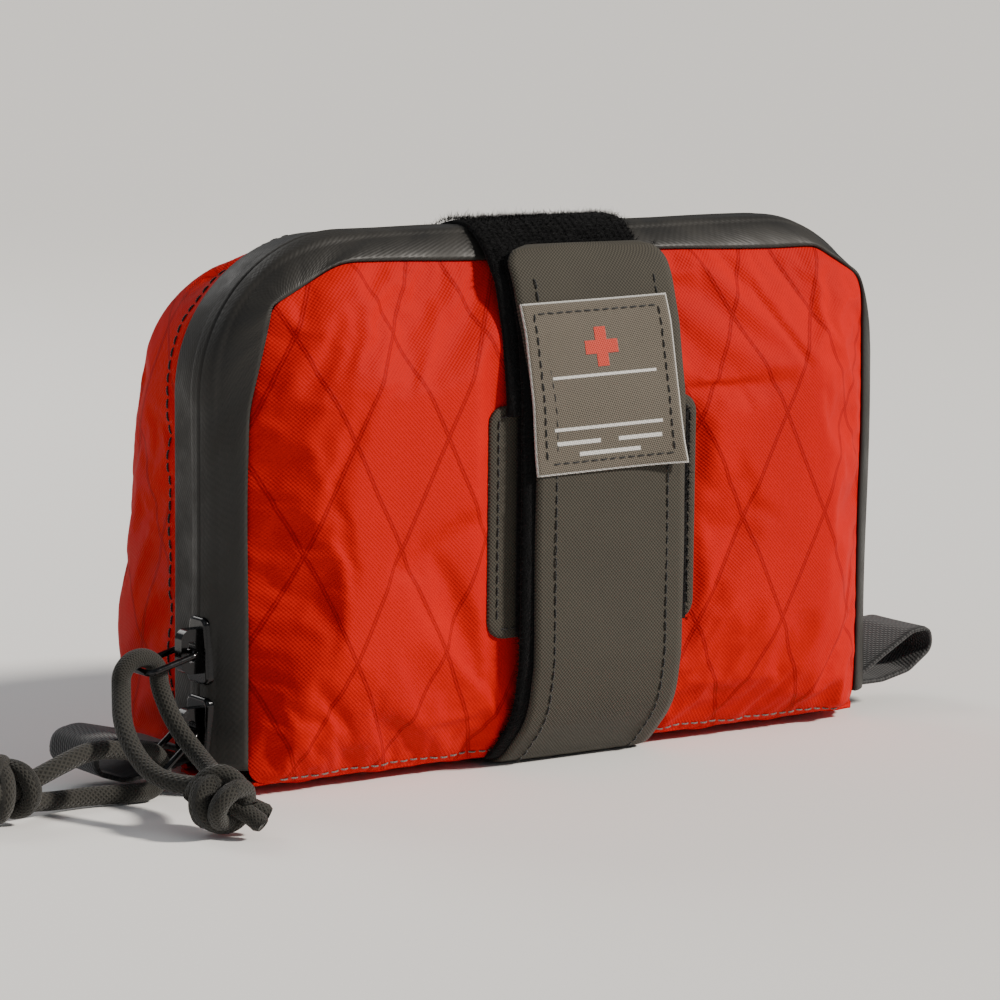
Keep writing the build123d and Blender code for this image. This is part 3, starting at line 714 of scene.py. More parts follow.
def belong(o, body, slot_name, *nodes):
    """Says what a piece moves with and hides the CAD nodes it stands for; slot_name, what it is made of, is
    not used.
    """
    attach(o, body)
    if nodes:
        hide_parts(*nodes)


# ------------------------------------------------------------------ cords and knots
AXIS_X, UPPER_Z, LOWER_Z = -101.5, 33.95, 15.55  # the two pulls' axes
WIRE_REACH = 13.0  # axis to far bar


def bar_at(z, droop):
    """The middle of a wire pull's far bar, for its axis height and how many degrees it hangs down."""
    d = math.radians(droop)
    return np.array([AXIS_X - WIRE_REACH * math.cos(d), ZIP_Y, z - WIRE_REACH * math.sin(d)])


upper_loop = bar_at(UPPER_Z, 15) + np.array([0, 0, -1.9])
lower_loop = bar_at(LOWER_Z, 40) + np.array([-1.9, 0, 0])
upper_route = [
    (-4.5, -33.5, -18.0), (-7.5, -27.0, -18.6), (-9.6, -17.5, -16.0), (-8.4, -6.5, -9.0),
    (-4.9, 0.0, -2.0), (-4.9, 0.0, 2.0), (-2.0, 0.0, 4.9),
    (2.0, 0.0, 4.9), (4.9, 0.0, 2.0), (4.9, 0.0, -2.0),
    (6.2, -5.0, -10.5), (7.5, -15.0, -17.0), (5.5, -25.5, -19.2), (1.0, -33.5, -18.2),
]
lower_route = [
    (-33.0, -4.6, 1.6), (-26.0, -5.2, 4.6), (-14.0, -2.2, 7.4),
    (-2.0, 0.0, 4.9), (2.0, 0.0, 4.9), (4.9, 0.0, 2.0),
    (4.9, 0.0, -2.0), (2.0, 0.0, -4.7), (-2.0, 0.0, -4.7),
    (-13.0, 2.6, -4.6), (-25.0, 1.2, -4.4), (-33.5, -2.6, -2.6),
]


def free_cord(name, loop, route):
    """A cord's smooth curve through its route, whose points are offsets from its loop, in mm."""
    curve = bpy.data.curves.new(name, "CURVE")
    curve.dimensions = "3D"
    curve.bevel_depth = CORD_R * mm
    curve.bevel_resolution = 5
    curve.resolution_u = 10
    spline = curve.splines.new("NURBS")
    spline.points.add(len(route) - 1)
    for point, offset in zip(spline.points, route):
        point.co = (*((loop + np.array(offset)) * mm), 1)
    spline.order_u = 3
    spline.use_endpoint_u = True
    curve.materials.append(M["cord_curve"])
    o = bpy.data.objects.new(name, curve)
    bpy.context.scene.collection.objects.link(o)
    return o


upper_cord = free_cord("upper_cord", upper_loop, upper_route)
lower_cord = free_cord("lower_cord", lower_loop, lower_route)


def knot(name, centre, along, tails, turn=0.0):
    """An overhand knot pulled tight: the cord's own turns round a core, and two cut ends."""
    centre = np.array(centre, float)
    ax = np.array(along, float)
    ax /= np.linalg.norm(ax)
    up = np.array([0, 0, 1.0]) - ax * ax[2]
    up /= np.linalg.norm(up)
    sd = np.cross(ax, up)
    bits = []

    def at(along_, up_=0.0, side_=0.0):
        return centre + ax * along_ + up * up_ + sd * side_

    for k, (shift, tilt, rr) in enumerate(((-3.2, 0.35, 5.1), (0.8, -0.30, 5.3), (4.0, 0.45, 4.4))):
        pts = []
        for a in np.arange(40) * math.tau / 40 + turn:
            along = shift + tilt * rr * math.sin(a + 0.6 * k)
            pts.append(at(along, 0.92 * rr * math.cos(a), rr * math.sin(a)))
        bits.append(tube(f"{name}_turn{k}", np.array(pts) * mm, 2.15 * mm, M["cord"], sides=12, closed=True))
    core = [at(t) for t in np.linspace(-6.5, 4.0, 12)]
    core_r = 3.4 * np.sqrt(np.clip(1 - np.linspace(-1, 1, 12) ** 4, 0.12, 1)) * mm
    bits.append(tube(f"{name}_core", np.array(core) * mm, core_r, M["cord"], sides=12))
    across = [at(-6 + 12 * t, 6.3 * math.sin(math.pi * t), 3.2 * math.cos(math.pi * t))
              for t in np.linspace(0, 1, 16)]
    bits.append(tube(f"{name}_over", np.array(across) * mm, 2.1 * mm, M["cord"], sides=12))
    for k, tail in enumerate(tails):
        run = np.array(tail, float)
        pts = [centre + run * t + up * 0.8 * math.sin(math.pi * t) for t in np.linspace(0.35, 1, 9)]
        rad = np.array([2.15] * 7 + [2.25, 1.7]) * mm
        bits.append(tube(f"{name}_tail{k}", np.array(pts) * mm, rad, M["cord"], sides=12))
    return join(name, bits)


upper_knot_at = (upper_loop[0] - 2.0, upper_loop[1] - 38.5, 7.9)
lower_knot_at = (lower_loop[0] - 38.5, lower_loop[1] - 4.2, 7.9)
upper_tails = [(5.5, -9.0, -4.4), (9.2, -5.5, -3.2)]
lower_tails = [(-10.2, 2.5, -4.4), (-9.6, -4.5, -3.4)]
upper_knot = knot("upper_knot", upper_knot_at, (0.15, -1, -0.05), upper_tails, 0.4)
lower_knot = knot("lower_knot", lower_knot_at, (-1, -0.1, -0.05), lower_tails, 1.1)
for cord_piece, knot_piece, pull in (
    (upper_cord, upper_knot, "upper_pull"), (lower_cord, lower_knot, "lower_pull")):
    belong(cord_piece, pull, "cord", pull + "_cord")
    belong(knot_piece, pull, "cord", pull + "_knot")

# ------------------------------------------------------------------ front panel
def lid_outline():
    """The front panel's seam: a cut upper left corner, a tighter upper right one, not quite even."""
    left_half, top, corner = 91.2, 121.6, 15.5
    p = rim(LID_HALF, BOTTOM, top, corner)
    p[:, 0] *= np.where(p[:, 0] < 0, left_half / LID_HALF, 1.0)
    # Each cut is a straight line: which way it faces, and how far it is from the middle of the foot.
    for facing, reach in (((-0.967, 0.255), 111.0), ((-0.428, 0.904), 138.4), ((0.49, 0.87), 142.0)):
        facing = np.array(facing) / math.hypot(*facing)
        p -= np.outer(np.maximum(0, p @ facing - reach), facing)
    x_, z_ = p[:, 0].copy(), p[:, 1].copy()
    high = smooth_step((z_ - 20) / 60)
    p[:, 1] += high * 0.45 * np.sin(x_ / 13.0)
    p[:, 0] += 0.3 * np.sin(z_ / 11.0 + x_ / 90) * high
    for _ in range(3):
        q = (np.roll(p, 1, 0) + np.roll(p, -1, 0)) / 2
        p[1:-1] = 0.5 * p[1:-1] + 0.5 * q[1:-1]
    return p


rim_lid = lid_outline()
rim_zip = rim(HALF, BOTTOM, ZIP_TOP, ZIP_CORNER)


def sheet_mesh(name, outline, cell, height, mat):
    """A triangulated sheet inside an outline (x, z), with its height along Y from a function."""
    lo, hi = outline.min(0), outline.max(0)
    a = outline
    b = np.roll(outline, -1, 0)

    def edge_distance(p):
        ab = b - a
        t = np.clip(((p - a) * ab).sum(1) / (ab * ab).sum(1), 0, 1)
        return np.sqrt((((a + ab * t[:, None]) - p) ** 2).sum(1).min())

    def inside(p):
        crosses = ((a[:, 1] > p[1]) != (b[:, 1] > p[1])) & (
            p[0] < (b[:, 0] - a[:, 0]) * (p[1] - a[:, 1]) / (b[:, 1] - a[:, 1] + 1e-12) + a[:, 0])
        return crosses.sum() % 2 == 1

    bound, _ = resample(np.vstack([outline, outline[:1]]), cell)
    bound = bound[:-1]
    pts, dist = [tuple(p) for p in bound], [0.0] * len(bound)
    row, z = 0, lo[1] + cell * 0.5
    while z < hi[1]:
        x = lo[0] + (cell / 2 if row % 2 else 0)
        while x < hi[0]:
            p = np.array([x, z]) + rng.uniform(-0.12, 0.12, 2) * cell
            if inside(p):
                d = edge_distance(p)
                if d > cell * 0.6:
                    pts.append(tuple(p))
                    dist.append(d)
            x += cell
        row, z = row + 1, z + cell * 0.866
    edges = [(i, (i + 1) % len(bound)) for i in range(len(bound))]
    v2, _, f2, _, _, _ = delaunay_2d_cdt([Vector(p) for p in pts], edges, [], 1, 1e-6)
    v2 = np.array([tuple(v) for v in v2])
    dist = np.array(dist[: len(v2)])
    verts = [(p[0] * mm, height(p[1], d) * mm, p[1] * mm) for p, d in zip(v2, dist)]
    o = make(name, verts, f2, mat, v2 * mm)
    return o, dist, len(bound)


def front_height(z, d):
    """How far forward the front swells, at a height and a distance in from its seam."""
    reach = 24.0 + 12.0 * float(smooth_step(np.array((z - 70) / 50)))
    t = min(d / reach, 1)
    return SEAM_Y - 9.6 * (1 - (1 - t) ** 2.3)


cell = 2.1
front, front_d, n_bound = sheet_mesh("front_panel", rim_lid, cell, front_height, M["red"])
drape(front, {i: 1.0 for i in range(n_bound)}, frames=24, pressure=1.6, shrink=-0.035)
co = coords(front) / mm
x, y, z = co.T
# The strap holds the middle down, and the front stays inside its measured depth.
FULLEST_Y, HELD_Y = -38.6, -35.25
under = smooth_step((35.5 - np.abs(x - PAD_X)) / 6)
limit = FULLEST_Y + under * (HELD_Y - FULLEST_Y)
y = np.maximum(y, limit)
# Gathers along the foot and at its corners, as sewn.
near = smooth_step((16 - (z - BOTTOM)) / 16) * smooth_step((front_d[: len(z)]) / 3)
corner = smooth_step((np.abs(x) - 45) / 40)
y -= near * corner * (1.1 * np.sin(x / 3.1 + 0.13 * z) + 0.8 * np.sin(x / 1.9 + 1.7)) * (1 - under)
y += 0.45 * near * (1 - corner) * np.sin(x / 4.3) * (1 - under)
put(front, np.stack([x, y, z], 1) * mm)
refine(front)
belong(front, "lid", "red_cloth", "lid_shell")

# ------------------------------------------------------------------ back shell
PROFILE_Z = [BOTTOM, 5.5, 9.5, 34, 60, 99, 113, 121, 126, ZIP_TOP]
PROFILE_Y = [33.0, 38.0, 39.0, 38.9, 32.4, 21.6, 16.6, 12.2, 6.0, -0.6]


def back_y(z):
    """The Y of the back's outside at height z."""
    return np.interp(z, PROFILE_Z, PROFILE_Y)


def pattern_shift(px, pz, run):
    """How far the cloth's pattern moves sideways and up where it runs this far over an edge."""
    side = np.sign(px) * run if abs(px) > 60 else 0
    return side, (-run if pz < 8 else run if pz > 120 else 0)


steps = 64
rim_back = rim(HALF - 0.2, BOTTOM, ZIP_TOP, ZIP_CORNER)
verts, uvs = [], []
for px, pz in rim_back:
    # Each line runs back from the rim, turns the corner and goes to the middle of the back.
    cx, cz = np.clip(px, -58, 58), 62.0
    depth = back_y(pz) - BACK_SEAM_Y
    run = math.hypot(px - cx, pz - cz)
    for s_ in np.linspace(0, depth + run, steps):
        side, rise = pattern_shift(px, pz, min(s_, depth))
        if s_ < depth:
            p = (px, BACK_SEAM_Y + s_, pz)
        else:
            t = (s_ - depth) / run
            qx, qz = px + (cx - px) * t, pz + (cz - pz) * t
            p = (qx, back_y(qz), qz)
        t_back = np.clip((p[1] - BACK_SEAM_Y) / (BACK_Y - BACK_SEAM_Y), 0, 1)
        verts.append(np.array((p[0] * (1 - BACK_TAPER * t_back / HALF), p[1], p[2])) * mm)
        uvs.append(((p[0] + side) * mm, (p[2] + rise) * mm))
back = make("back_shell_cloth", verts, grid_faces(len(rim_back), steps, close_u=True), M["red"], uvs)
# The lines meet in the middle, so they are welded there, and the edges are rounded before the cloth settles.
bm = bmesh.new()
bm.from_mesh(back.data)
bmesh.ops.remove_doubles(bm, verts=bm.verts, dist=0.6 * mm)
bm.verts.ensure_lookup_table()
free = [v for v in bm.verts if not v.is_boundary]
for _ in range(6):
    bmesh.ops.smooth_vert(bm, verts=free, factor=0.5, use_axis_x=True, use_axis_y=True, use_axis_z=True)
bm.normal_update()
bmesh.ops.recalc_face_normals(bm, faces=bm.faces)
bm.to_mesh(back.data)
bm.free()
bm = bmesh.new()
bm.from_mesh(back.data)
held = {v.index: 1.0 for v in bm.verts if v.is_boundary}
bm.free()
for i, (vx, vy, vz) in enumerate(coords(back) / mm):
    if vz < BOTTOM + 1.5 and vy < 30 and i not in held:
        held[i] = 0.9
drape(back, held, frames=20, pressure=1.2, shrink=-0.025)
co = coords(back) / mm
x, y, z = co.T
under = smooth_step((36 - np.abs(x)) / 10)
limit = back_y(z) + 2.0 * (1 - under) - 0.1
fold = np.where(z > BOTTOM + 3, np.maximum(0, y - limit), 0)
y = y - fold
# The cloth stays outside the lining.
on_back = smooth_step((88 - np.abs(x)) / 4) * smooth_step((z - 5) / 3) * smooth_step((117 - z) / 3) * (y > 8)
y = y + on_back * np.maximum(0, back_y(z) - 0.7 - y)
z = np.clip(z, BOTTOM - 0.1, ZIP_TOP + 0.8)
top_under = smooth_step((36 - np.abs(x)) / 10) * smooth_step((z - 118) / 8)
z = z - top_under * np.maximum(0, z - ZIP_TOP + 0.2)
side_limit = HALF + 0.4 - BACK_TAPER * np.clip((y - BACK_SEAM_Y) / (BACK_Y - BACK_SEAM_Y), 0, 1)
side_limit += 1.6 * np.sin(np.clip((y - BACK_SEAM_Y) / 41, 0, 1) * math.pi)
x = np.sign(x) * (np.minimum(np.abs(x), side_limit) + 0.15 * np.maximum(0, np.abs(x) - side_limit))
put(back, np.stack([x, y, z], 1) * mm)
refine(back)
belong(back, "pouch", "red_cloth", "back_shell", "bottom_panel")

# The bottom: a strip from the back shell to the hinge line, and another from there to the front panel.
for name, body, nodes, y0, y1, w0, w1 in (
    ("bottom_strip", "pouch", (), ZIP_Y + 0.4, BACK_SEAM_Y + 1.5, 95.6, 95.6),
    ("lid_foot", "lid", ("lid_bottom_panel",), SEAM_Y + 0.2, ZIP_Y - 0.4, 89, 96)):
    verts, uvs = [], []
    for i in range(81):
        for j in range(9):
            t = j / 8
            w = w0 + (w1 - w0) * t
            vx = -w + 2 * w * i / 80
            vy = y0 + (y1 - y0) * t
            vz = BOTTOM + 0.25 + 0.22 * math.sin(vx / 3.7 + vy) + 0.15 * math.sin(vx / 1.7)
            verts.append((vx * mm, vy * mm, vz * mm))
            uvs.append((vx * mm, vy * mm))
    strip = make(name, verts, grid_faces(81, 9), M["red"], uvs)
    thicken(strip, 0.9)
    belong(strip, body, "red_cloth", *nodes)


# ------------------------------------------------------------------ zipper tapes
def tape_band(name, a_rim, a_y, b_rim, b_y, curve, body, node, flip):
    """A strip between two outlines; curve gives how it swells, its edge at the teeth is lipped."""
    A, B = a_rim[U], b_rim[U]
    keep = B[:, 1] > BOTTOM + 0.6
    A, B = A[keep], B[keep]
    nt = 22
    length = np.concatenate([[0], np.cumsum(np.linalg.norm(np.diff(B, axis=0), axis=1))])
    centre = np.array([0.0, 60.0])
    verts, uvs = [], []
    for i in range(len(A)):
        prev, nxt = B[max(i - 1, 0)], B[min(i + 1, len(B) - 1)]
        t2 = nxt - prev
        n2 = np.array([-t2[1], t2[0]])
        n2 /= np.linalg.norm(n2)
        if n2 @ (B[i] - centre) < 0:
            n2 = -n2
        for k in range(nt):
            t = k / (nt - 1)
            ease = math.sin(t * math.pi / 2) ** curve if curve else t
            xz = A[i] + (B[i] - A[i]) * ease
            vy = a_y + (b_y - a_y) * t
            dy = abs(vy - ZIP_Y)
            bump = 0.55 * smooth_step((4.4 - dy) / 1.2) + 0.25 * smooth_step((1.3 - dy) / 0.6)
            bump += 0.35 * math.sin(math.pi * t) * math.sin(length[i] / 13.0 + 0.7)
            if dy < 0.5:
                bump -= 0.5
            xz = xz + n2 * bump
            verts.append((xz[0] * mm, vy * mm, xz[1] * mm))
            uvs.append((vy * mm, length[i] * mm))
    o = make(name, verts, grid_faces(len(A), nt), M["band"], uvs)
    thicken(o, 0.9, -1 if flip else 1)
    belong(o, body, "zipper_tape", node)


tape_band("zipper_band_front", rim_lid, SEAM_Y + 0.1, rim_zip, ZIP_Y - 0.32, 0.75,
          "lid", "zipper_tape_front", False)
tape_band("zipper_band_back", rim(HALF - 0.1, BOTTOM, ZIP_TOP, ZIP_CORNER), BACK_SEAM_Y + 0.3,
          rim_zip, ZIP_Y + 0.32, 0, "pouch", "zipper_tape_back", True)


COIL_PITCH = 1.3


def coil(name, y0, side, body, node):
    """The zipper's coil on the inside of one tape: small loops along its edge."""
    B = rim(HALF - 1.9, BOTTOM, ZIP_TOP - 1.9, 34.5)[U]
    B = B[B[:, 1] > 7.0]
    pts, s = resample(B, 0.42)
    line = []
    for i, p in enumerate(pts):
        a = s[i] / COIL_PITCH * math.tau
        tow = np.array([0, 62]) - p
        tow = tow / np.linalg.norm(tow)
        q = p + tow * (0.75 + 0.7 * math.sin(a))
        line.append((q[0] * mm, (y0 + side * (0.85 + 0.65 * math.cos(a))) * mm, q[1] * mm))
    o = tube(name, line, 0.28 * mm, M["black_plastic"], sides=4)
    belong(o, body, "zipper_teeth", node)


M["black_plastic"] = metal_mat("black_plastic", (0.012, 0.012, 0.013), 0.4, 0.0)
coil("coil_front", ZIP_Y - 0.4, -1, "lid", "zipper_teeth_front")
coil("coil_back", ZIP_Y + 0.4, 1, "pouch", "zipper_teeth_back")

# ------------------------------------------------------------------ seams and stitching on the shells
side_line = []
for px, pz in rim_zip[U][2:-2]:
    d = 4.6 if back_y(pz) > 9 else 2.2
    side_line.append((px * mm, (BACK_SEAM_Y + d) * mm, pz * mm))
side_line, _ = resample(np.array(side_line), 1.5 * mm)
stitch_at, stitch_n = [], []
tree = BVHTree.FromObject(back, bpy.context.evaluated_depsgraph_get())
for p in side_line:
    q, n_, _, _ = tree.find_nearest(Vector(p))
    out = np.array([p[0], 0, p[2] - 60 * mm])
    n_ = np.array(n_)
    stitch_at.append(np.array(q))
    stitch_n.append(n_ if n_ @ out > 0 else -n_)
s1 = stitches("back_seam_stitches", stitch_at, stitch_n, M["thread_black"],
              pitch=3.0, length=2.3, radius=0.24)
belong(s1, "pouch", "webbing")


roll_line = [(px * mm, (BACK_SEAM_Y + 0.4) * mm, pz * mm)
             for px, pz in rim(HALF - 0.3, BOTTOM + 0.6, ZIP_TOP - 0.3, ZIP_CORNER - 0.3)]
roll = tube("back_seam_roll", roll_line, 0.65 * mm, M["red"], closed=True)
belong(roll, "pouch", "red_cloth")

# Grey thread along the front foot seam
foot = np.array([(vx * mm, (SEAM_Y - 1.6) * mm, (BOTTOM + 1.5) * mm) for vx in np.linspace(-84, 84, 120)])
fp, fn = on_surface(front, foot, (0, -0.6, -0.8))
s2 = stitches("front_foot_stitches", fp, fn, M["thread_grey"], pitch=2.8, length=2.0, radius=0.2)
belong(s2, "lid", "webbing")

# ------------------------------------------------------------------ wrap strap
# The pouch's middle, from the hinge up the front and back over the top, as (y, z)
PROFILE = [(-25.3, 2.8), (-29.9, 7.8), (-33.1, 14.8), (-35.3, 26.8), (-35.3, 88.5), (-33.1, 104.5),
           (-29.9, 115.5), (-25.3, 122.5), (-19.8, 127.5), (-1.8, 127.5)]


def outside(line, distance):
    """A line of (y, z) points moved outwards by a distance, with its corners kept."""
    line = [np.array(p, float) for p in line]
    out = []
    for i, p in enumerate(line):
        ns = []
        if i:
            d = p - line[i - 1]
            ns.append(np.array([-d[1], d[0]]) / np.linalg.norm(d))
        if i + 1 < len(line):
            d = line[i + 1] - p
            ns.append(np.array([-d[1], d[0]]) / np.linalg.norm(d))
        m_ = sum(ns)
        m_ /= np.linalg.norm(m_)
        out.append(tuple(p + m_ * distance / (m_ @ ns[0])))
    return out


climb = outside(PROFILE, FRONT_Y - CLOTH_Y)
end = np.array(climb[6]) + 0.86 * (np.array(climb[7]) - np.array(climb[6]))
cloth_line = [(ZIP_Y - 0.35, 0.6), (SEAM_Y - 1.0, 0.6), *climb[2:7], tuple(end)]
pile_line = outside(cloth_line, CLOTH_Y - PILE_Y)
strap, sp, sn, ss = ribbon("strap_cloth", cloth_line, STRAP_W, 1.15, M["strap"], radius=20, nx=24,
                           step=1.2, corner=6.0, wobble=0.10)
belong(strap, "hook_flap", "strap_cloth", "hook_strap_cloth")
# The backing sticks out past the strap's left edge: a black strip that is partly the pile and partly painted
# shade in the gap under the strap.
pile, pp, pn, _ = ribbon("strap_pile", pile_line, PILE_AND_SHADE_W, 1.3, M["pile"], radius=20, x=PILE_AND_SHADE_X, nx=20,
                         step=1.4, corner=5.4, wobble=0.12)
belong(pile, "hook_flap", "loop_pile", "hook_strap_pile")


def strap_stitch(name, pts, norms, s, x, s0, s1, mat, lift, body, sign=-1, **kw):
    """Stitches along a strap at one X, between two distances along it."""
    pick = (s >= s0) & (s <= s1)
    line = pts[pick] * mm
    line[:, 0] = x * mm
    o = stitches(name, line + norms[pick] * sign * lift * mm, norms[pick] * sign, mat, **kw)
    belong(o, body, "webbing")
    return o


# Which way the strap's normals face: outwards is -Y at mid height.
mid = np.argmin(np.abs(sp[:, 2] - 60))
OUT = -1 if sn[mid][1] > 0 else 1
for sx in (-1, 1):
    strap_stitch(f"strap_stitch_{'lr'[sx > 0]}", sp, sn, ss, sx * STITCH_X, 9, ss[-1] - 5,
                 M["thread_black"], 0.6,
                 "hook_flap", sign=OUT, pitch=3.0, length=2.3, radius=0.2)
strap_edges = []
edge_n = []
for sx in (-1, 1):
    for p, n_ in zip(pp, pn):
        if p[2] > 3.5:
            for f in np.linspace(-0.5, 0.5, 3):
                strap_edges.append((p + np.array([sx * (PILE_AND_SHADE_W / 2 - 0.1), 0, 0]) + n_ * f * 1.2) * mm)
                edge_n.append(np.array([sx * 1.0, 0, 0]) + n_ * OUT * -0.5)
hairs = fuzz("strap_edge_fibres", np.array(strap_edges), np.array(edge_n),
             5200, 1.5, M["pile"])
belong(hairs, "hook_flap", "loop_pile")

# Loop strap: over the top and down the back
loop_climb = outside(PROFILE, FRONT_Y - LOOP_Y)
LIFT_Y = 3.2
over_z = loop_climb[-1][1]
top_line = [(LOOP_Y, 85.6), *loop_climb[4:9], (LIFT_Y - 0.2, over_z)]
loop_end, lp, ln, _ = ribbon("loop_strap_over", top_line, LOOP_W, 1.7, M["pile"], radius=12, x=LOOP_X, nx=24,
                             step=1.2, wobble=0.2, edge_soft=0.5)
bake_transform(loop_end)
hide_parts("loop_strap_end")
out_l = -1 if ln[np.argmin(np.abs(lp[:, 2] - 105))][1] > 0 else 1


FIBRE_HALF = LOOP_W / 2 - 0.25


def pile_points(pts, norms, out, half_w):
    """Where fibres stand on a loop tape, and which way they point."""
    a, b = [], []
    for p, n_ in zip(pts, norms):
        for f in np.linspace(-1, 1, 24):
            a.append((p + np.array([f * half_w, 0, 0]) + n_ * out * 0.8) * mm)
            b.append(n_ * out)
    return np.array(a), np.array(b)


on_top = lp[:, 2] > 118
a, b = pile_points(lp[on_top], ln[on_top], out_l, FIBRE_HALF)
hairs = fuzz("loop_over_fibres", a, b, 15000, 1.5, M["pile"], spread=1.2)
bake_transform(hairs)


BREAK_Z, LEAN_HEIGHT, LEAN_DEPTH = 34, 65, BACK_Y - 0.55 * BACK_Y  # where and how far the back leans


def slope_y(z):
    """The Y of the back's leaning face at height z."""
    return BACK_Y - (z - BREAK_Z) * LEAN_DEPTH / LEAN_HEIGHT


rise = [(slope_y(65) + 1.2, 65), (23.06, 99), (15.95, 122.6), (LIFT_Y + 4.2, over_z), (LIFT_Y + 0.2, over_z)]
loop_base, bp, bn, _ = ribbon("loop_strap_back", rise, LOOP_W, 1.7, M["pile"], radius=8, x=LOOP_X, nx=24,
                              step=1.3, wobble=0.12, edge_soft=0.5)
belong(loop_base, "pouch", "loop_pile", "loop_strap_base")
out_b = 1 if bn[3][1] > 0 else -1
a, b = pile_points(bp, bn, out_b, FIBRE_HALF)
hairs = fuzz("loop_back_fibres", a, b, 12000, 1.1, M["pile"], spread=1.3)
belong(hairs, "pouch", "loop_pile")

base_line = [(slope_y(63), 63), (BACK_Y, BREAK_Z), (BACK_Y, 8.8),
             (BACK_Y - 6, BOTTOM), (ZIP_Y + 0.35, BOTTOM)]
base_line = outside(base_line, 0.3 + 1.25)
under_strap, up_, un, us = ribbon("strap_under", base_line, STRAP_W, 2.3, M["strap"], radius=5, nx=24,
                                  step=1.3, wobble=0.08)
belong(under_strap, "pouch", "strap_cloth", "hook_strap_base")
out_u = 1 if un[2][1] > 0 else -1
for sx in (-1, 1):
    strap_stitch(f"under_stitch_{'lr'[sx > 0]}", up_, un, us, sx * STITCH_X, 2, us[-1] - 2, M["thread_black"],
                 1.2, "pouch", sign=out_u, pitch=3.0, length=2.3, radius=0.2)


def sewn_patch(name, origin, ax_u, ax_v, normal, w, h, r, body, node):
    """A rounded patch of strap cloth with a sewn border; origin is the centre of its inner face, in mm."""
    thick, inset = 1.0, 2.4
    origin, ax_u, ax_v, normal = (np.array(q, float) for q in (origin, ax_u, ax_v, normal))
    loop = rim(w / 2, -h / 2, h / 2, r, r)
    loop, _ = resample(np.vstack([loop, loop[:1]]), 1.1)
    loop = loop[:-1]
    verts, uvs, faces = [], [], []
    rings = [(1.0, 0.0), (1.0, 0.55), (0.985, 0.9), (0.95, 1.0),
             (0.82, 1.0), (0.6, 1.0), (0.3, 1.0), (0.02, 1.0)]
    for f, lift in rings:
        for p in loop:
            pu, pv = p[0] * f, p[1] * f
            wave = 0.10 * math.sin(pu / 4.1 + 1) * math.sin(pv / 5.3) * (lift > 0.9)
            q = origin + ax_u * pu + ax_v * pv + normal * (lift * thick + wave)
            verts.append(q * mm)
            uvs.append((pu * mm, pv * mm))
    n_ = len(loop)
    faces += grid_faces(len(rings), n_, close_v=True)
    faces.append(tuple(reversed(range((len(rings) - 1) * n_, len(rings) * n_))))
    o = make(name, verts, faces, M["strap"], uvs)
    belong(o, body, "strap_cloth", node)
    turn = max(r - inset, 0.6)
    border = rim(w / 2 - inset, -h / 2 + inset, h / 2 - inset, turn, turn)
    line = np.array([(origin + ax_u * p[0] + ax_v * p[1] + normal * thick) * mm for p in border])
    s_ = stitches(name + "_stitches", line, np.tile(normal, (len(line), 1)), M["thread_black"],
                  pitch=2.8, length=2.1, radius=0.2)
    belong(s_, body, "webbing")


sewn_patch("anchor_pad", (PAD_X, FRONT_Y - 0.1, 60.5), (1, 0, 0), (0, 0, 1), (0, -1, 0), 61, 55, 4.5,
           "lid", "strap_pad")
lean = np.array([0, -LEAN_DEPTH, LEAN_HEIGHT])
lean /= np.linalg.norm(lean)
outward = np.array([0, lean[2], -lean[1]])
keeper_mid = np.array([0, slope_y(64), 64]) + outward * 2.9
sewn_patch("keeper_patch", keeper_mid, (-1, 0, 0), lean, outward, 58, 26, 4.0, "pouch", "strap_keeper")
field_line = [(LOOP_Y, 33.5), (LOOP_Y, 57), (LOOP_Y, 84.8)]
field, fpts, _, _ = ribbon("loop_field_tape", field_line, 50, 1.7, M["pile"], nx=24, edge_soft=0.5)
belong(field, "lid", "loop_pile", "loop_field")
a, b = pile_points(fpts, np.tile((0, -1.0, 0), (len(fpts), 1)), 1, 24.8)
edge_only = np.abs(a[:, 0]) > 19 * mm
hairs = fuzz("loop_field_fibres", a[edge_only], b[edge_only], 5000, 1.3, M["pile"])
belong(hairs, "lid", "loop_pile")

# ------------------------------------------------------------------ label
LABEL_LOW, LABEL_HIGH = 72.0, 112.0
LABEL_HALF = 21.3
nu, nv = 36, 36
verts, uvs = [], []
for i in range(nu):
    for j in range(nv):
        fu, fv = -1 + 2 * i / (nu - 1), j / (nv - 1)
        zz = LABEL_LOW + (LABEL_HIGH - LABEL_LOW) * fv
        k = np.argmin(np.abs(sp[:, 2] - zz) + (sp[:, 1] > -20) * 100)
        yy = np.interp(zz, sp[max(k - 3, 0): k + 4, 2], sp[max(k - 3, 0): k + 4, 1])
        nrm = sn[k] * OUT
        # Its lower right corner lifts.
        curl = 0.75 + 8.32 * max(0, fu - 0.1) ** 2 * max(0, 0.45 - fv) ** 1.2
        curl += 0.35 * max(0, 0.12 - fv) / 0.12
        curl += 0.16 * math.sin(fu * 3 + 1) * math.sin(fv * 5)
        p = np.array([fu * LABEL_HALF - 3.6 + 2.6 * (1 - fv), yy, zz + 0.5 * fu]) + nrm * curl
        verts.append(p * mm)
        uvs.append((fu * 20.4 * mm, fv * 40 * mm))
label = make("label", verts, grid_faces(nu, nv), M["label"], uvs)
thicken(label, 0.55)
belong(label, "hook_flap", "label", "label_patch")
border = rim(18.2, 2.6, 37.4, 0.8, 0.8)
line, _ = resample(np.vstack([border, border[:1]]), 1.0)
lverts = np.array(verts).reshape(nu, nv, 3)
pts, nors = [], []
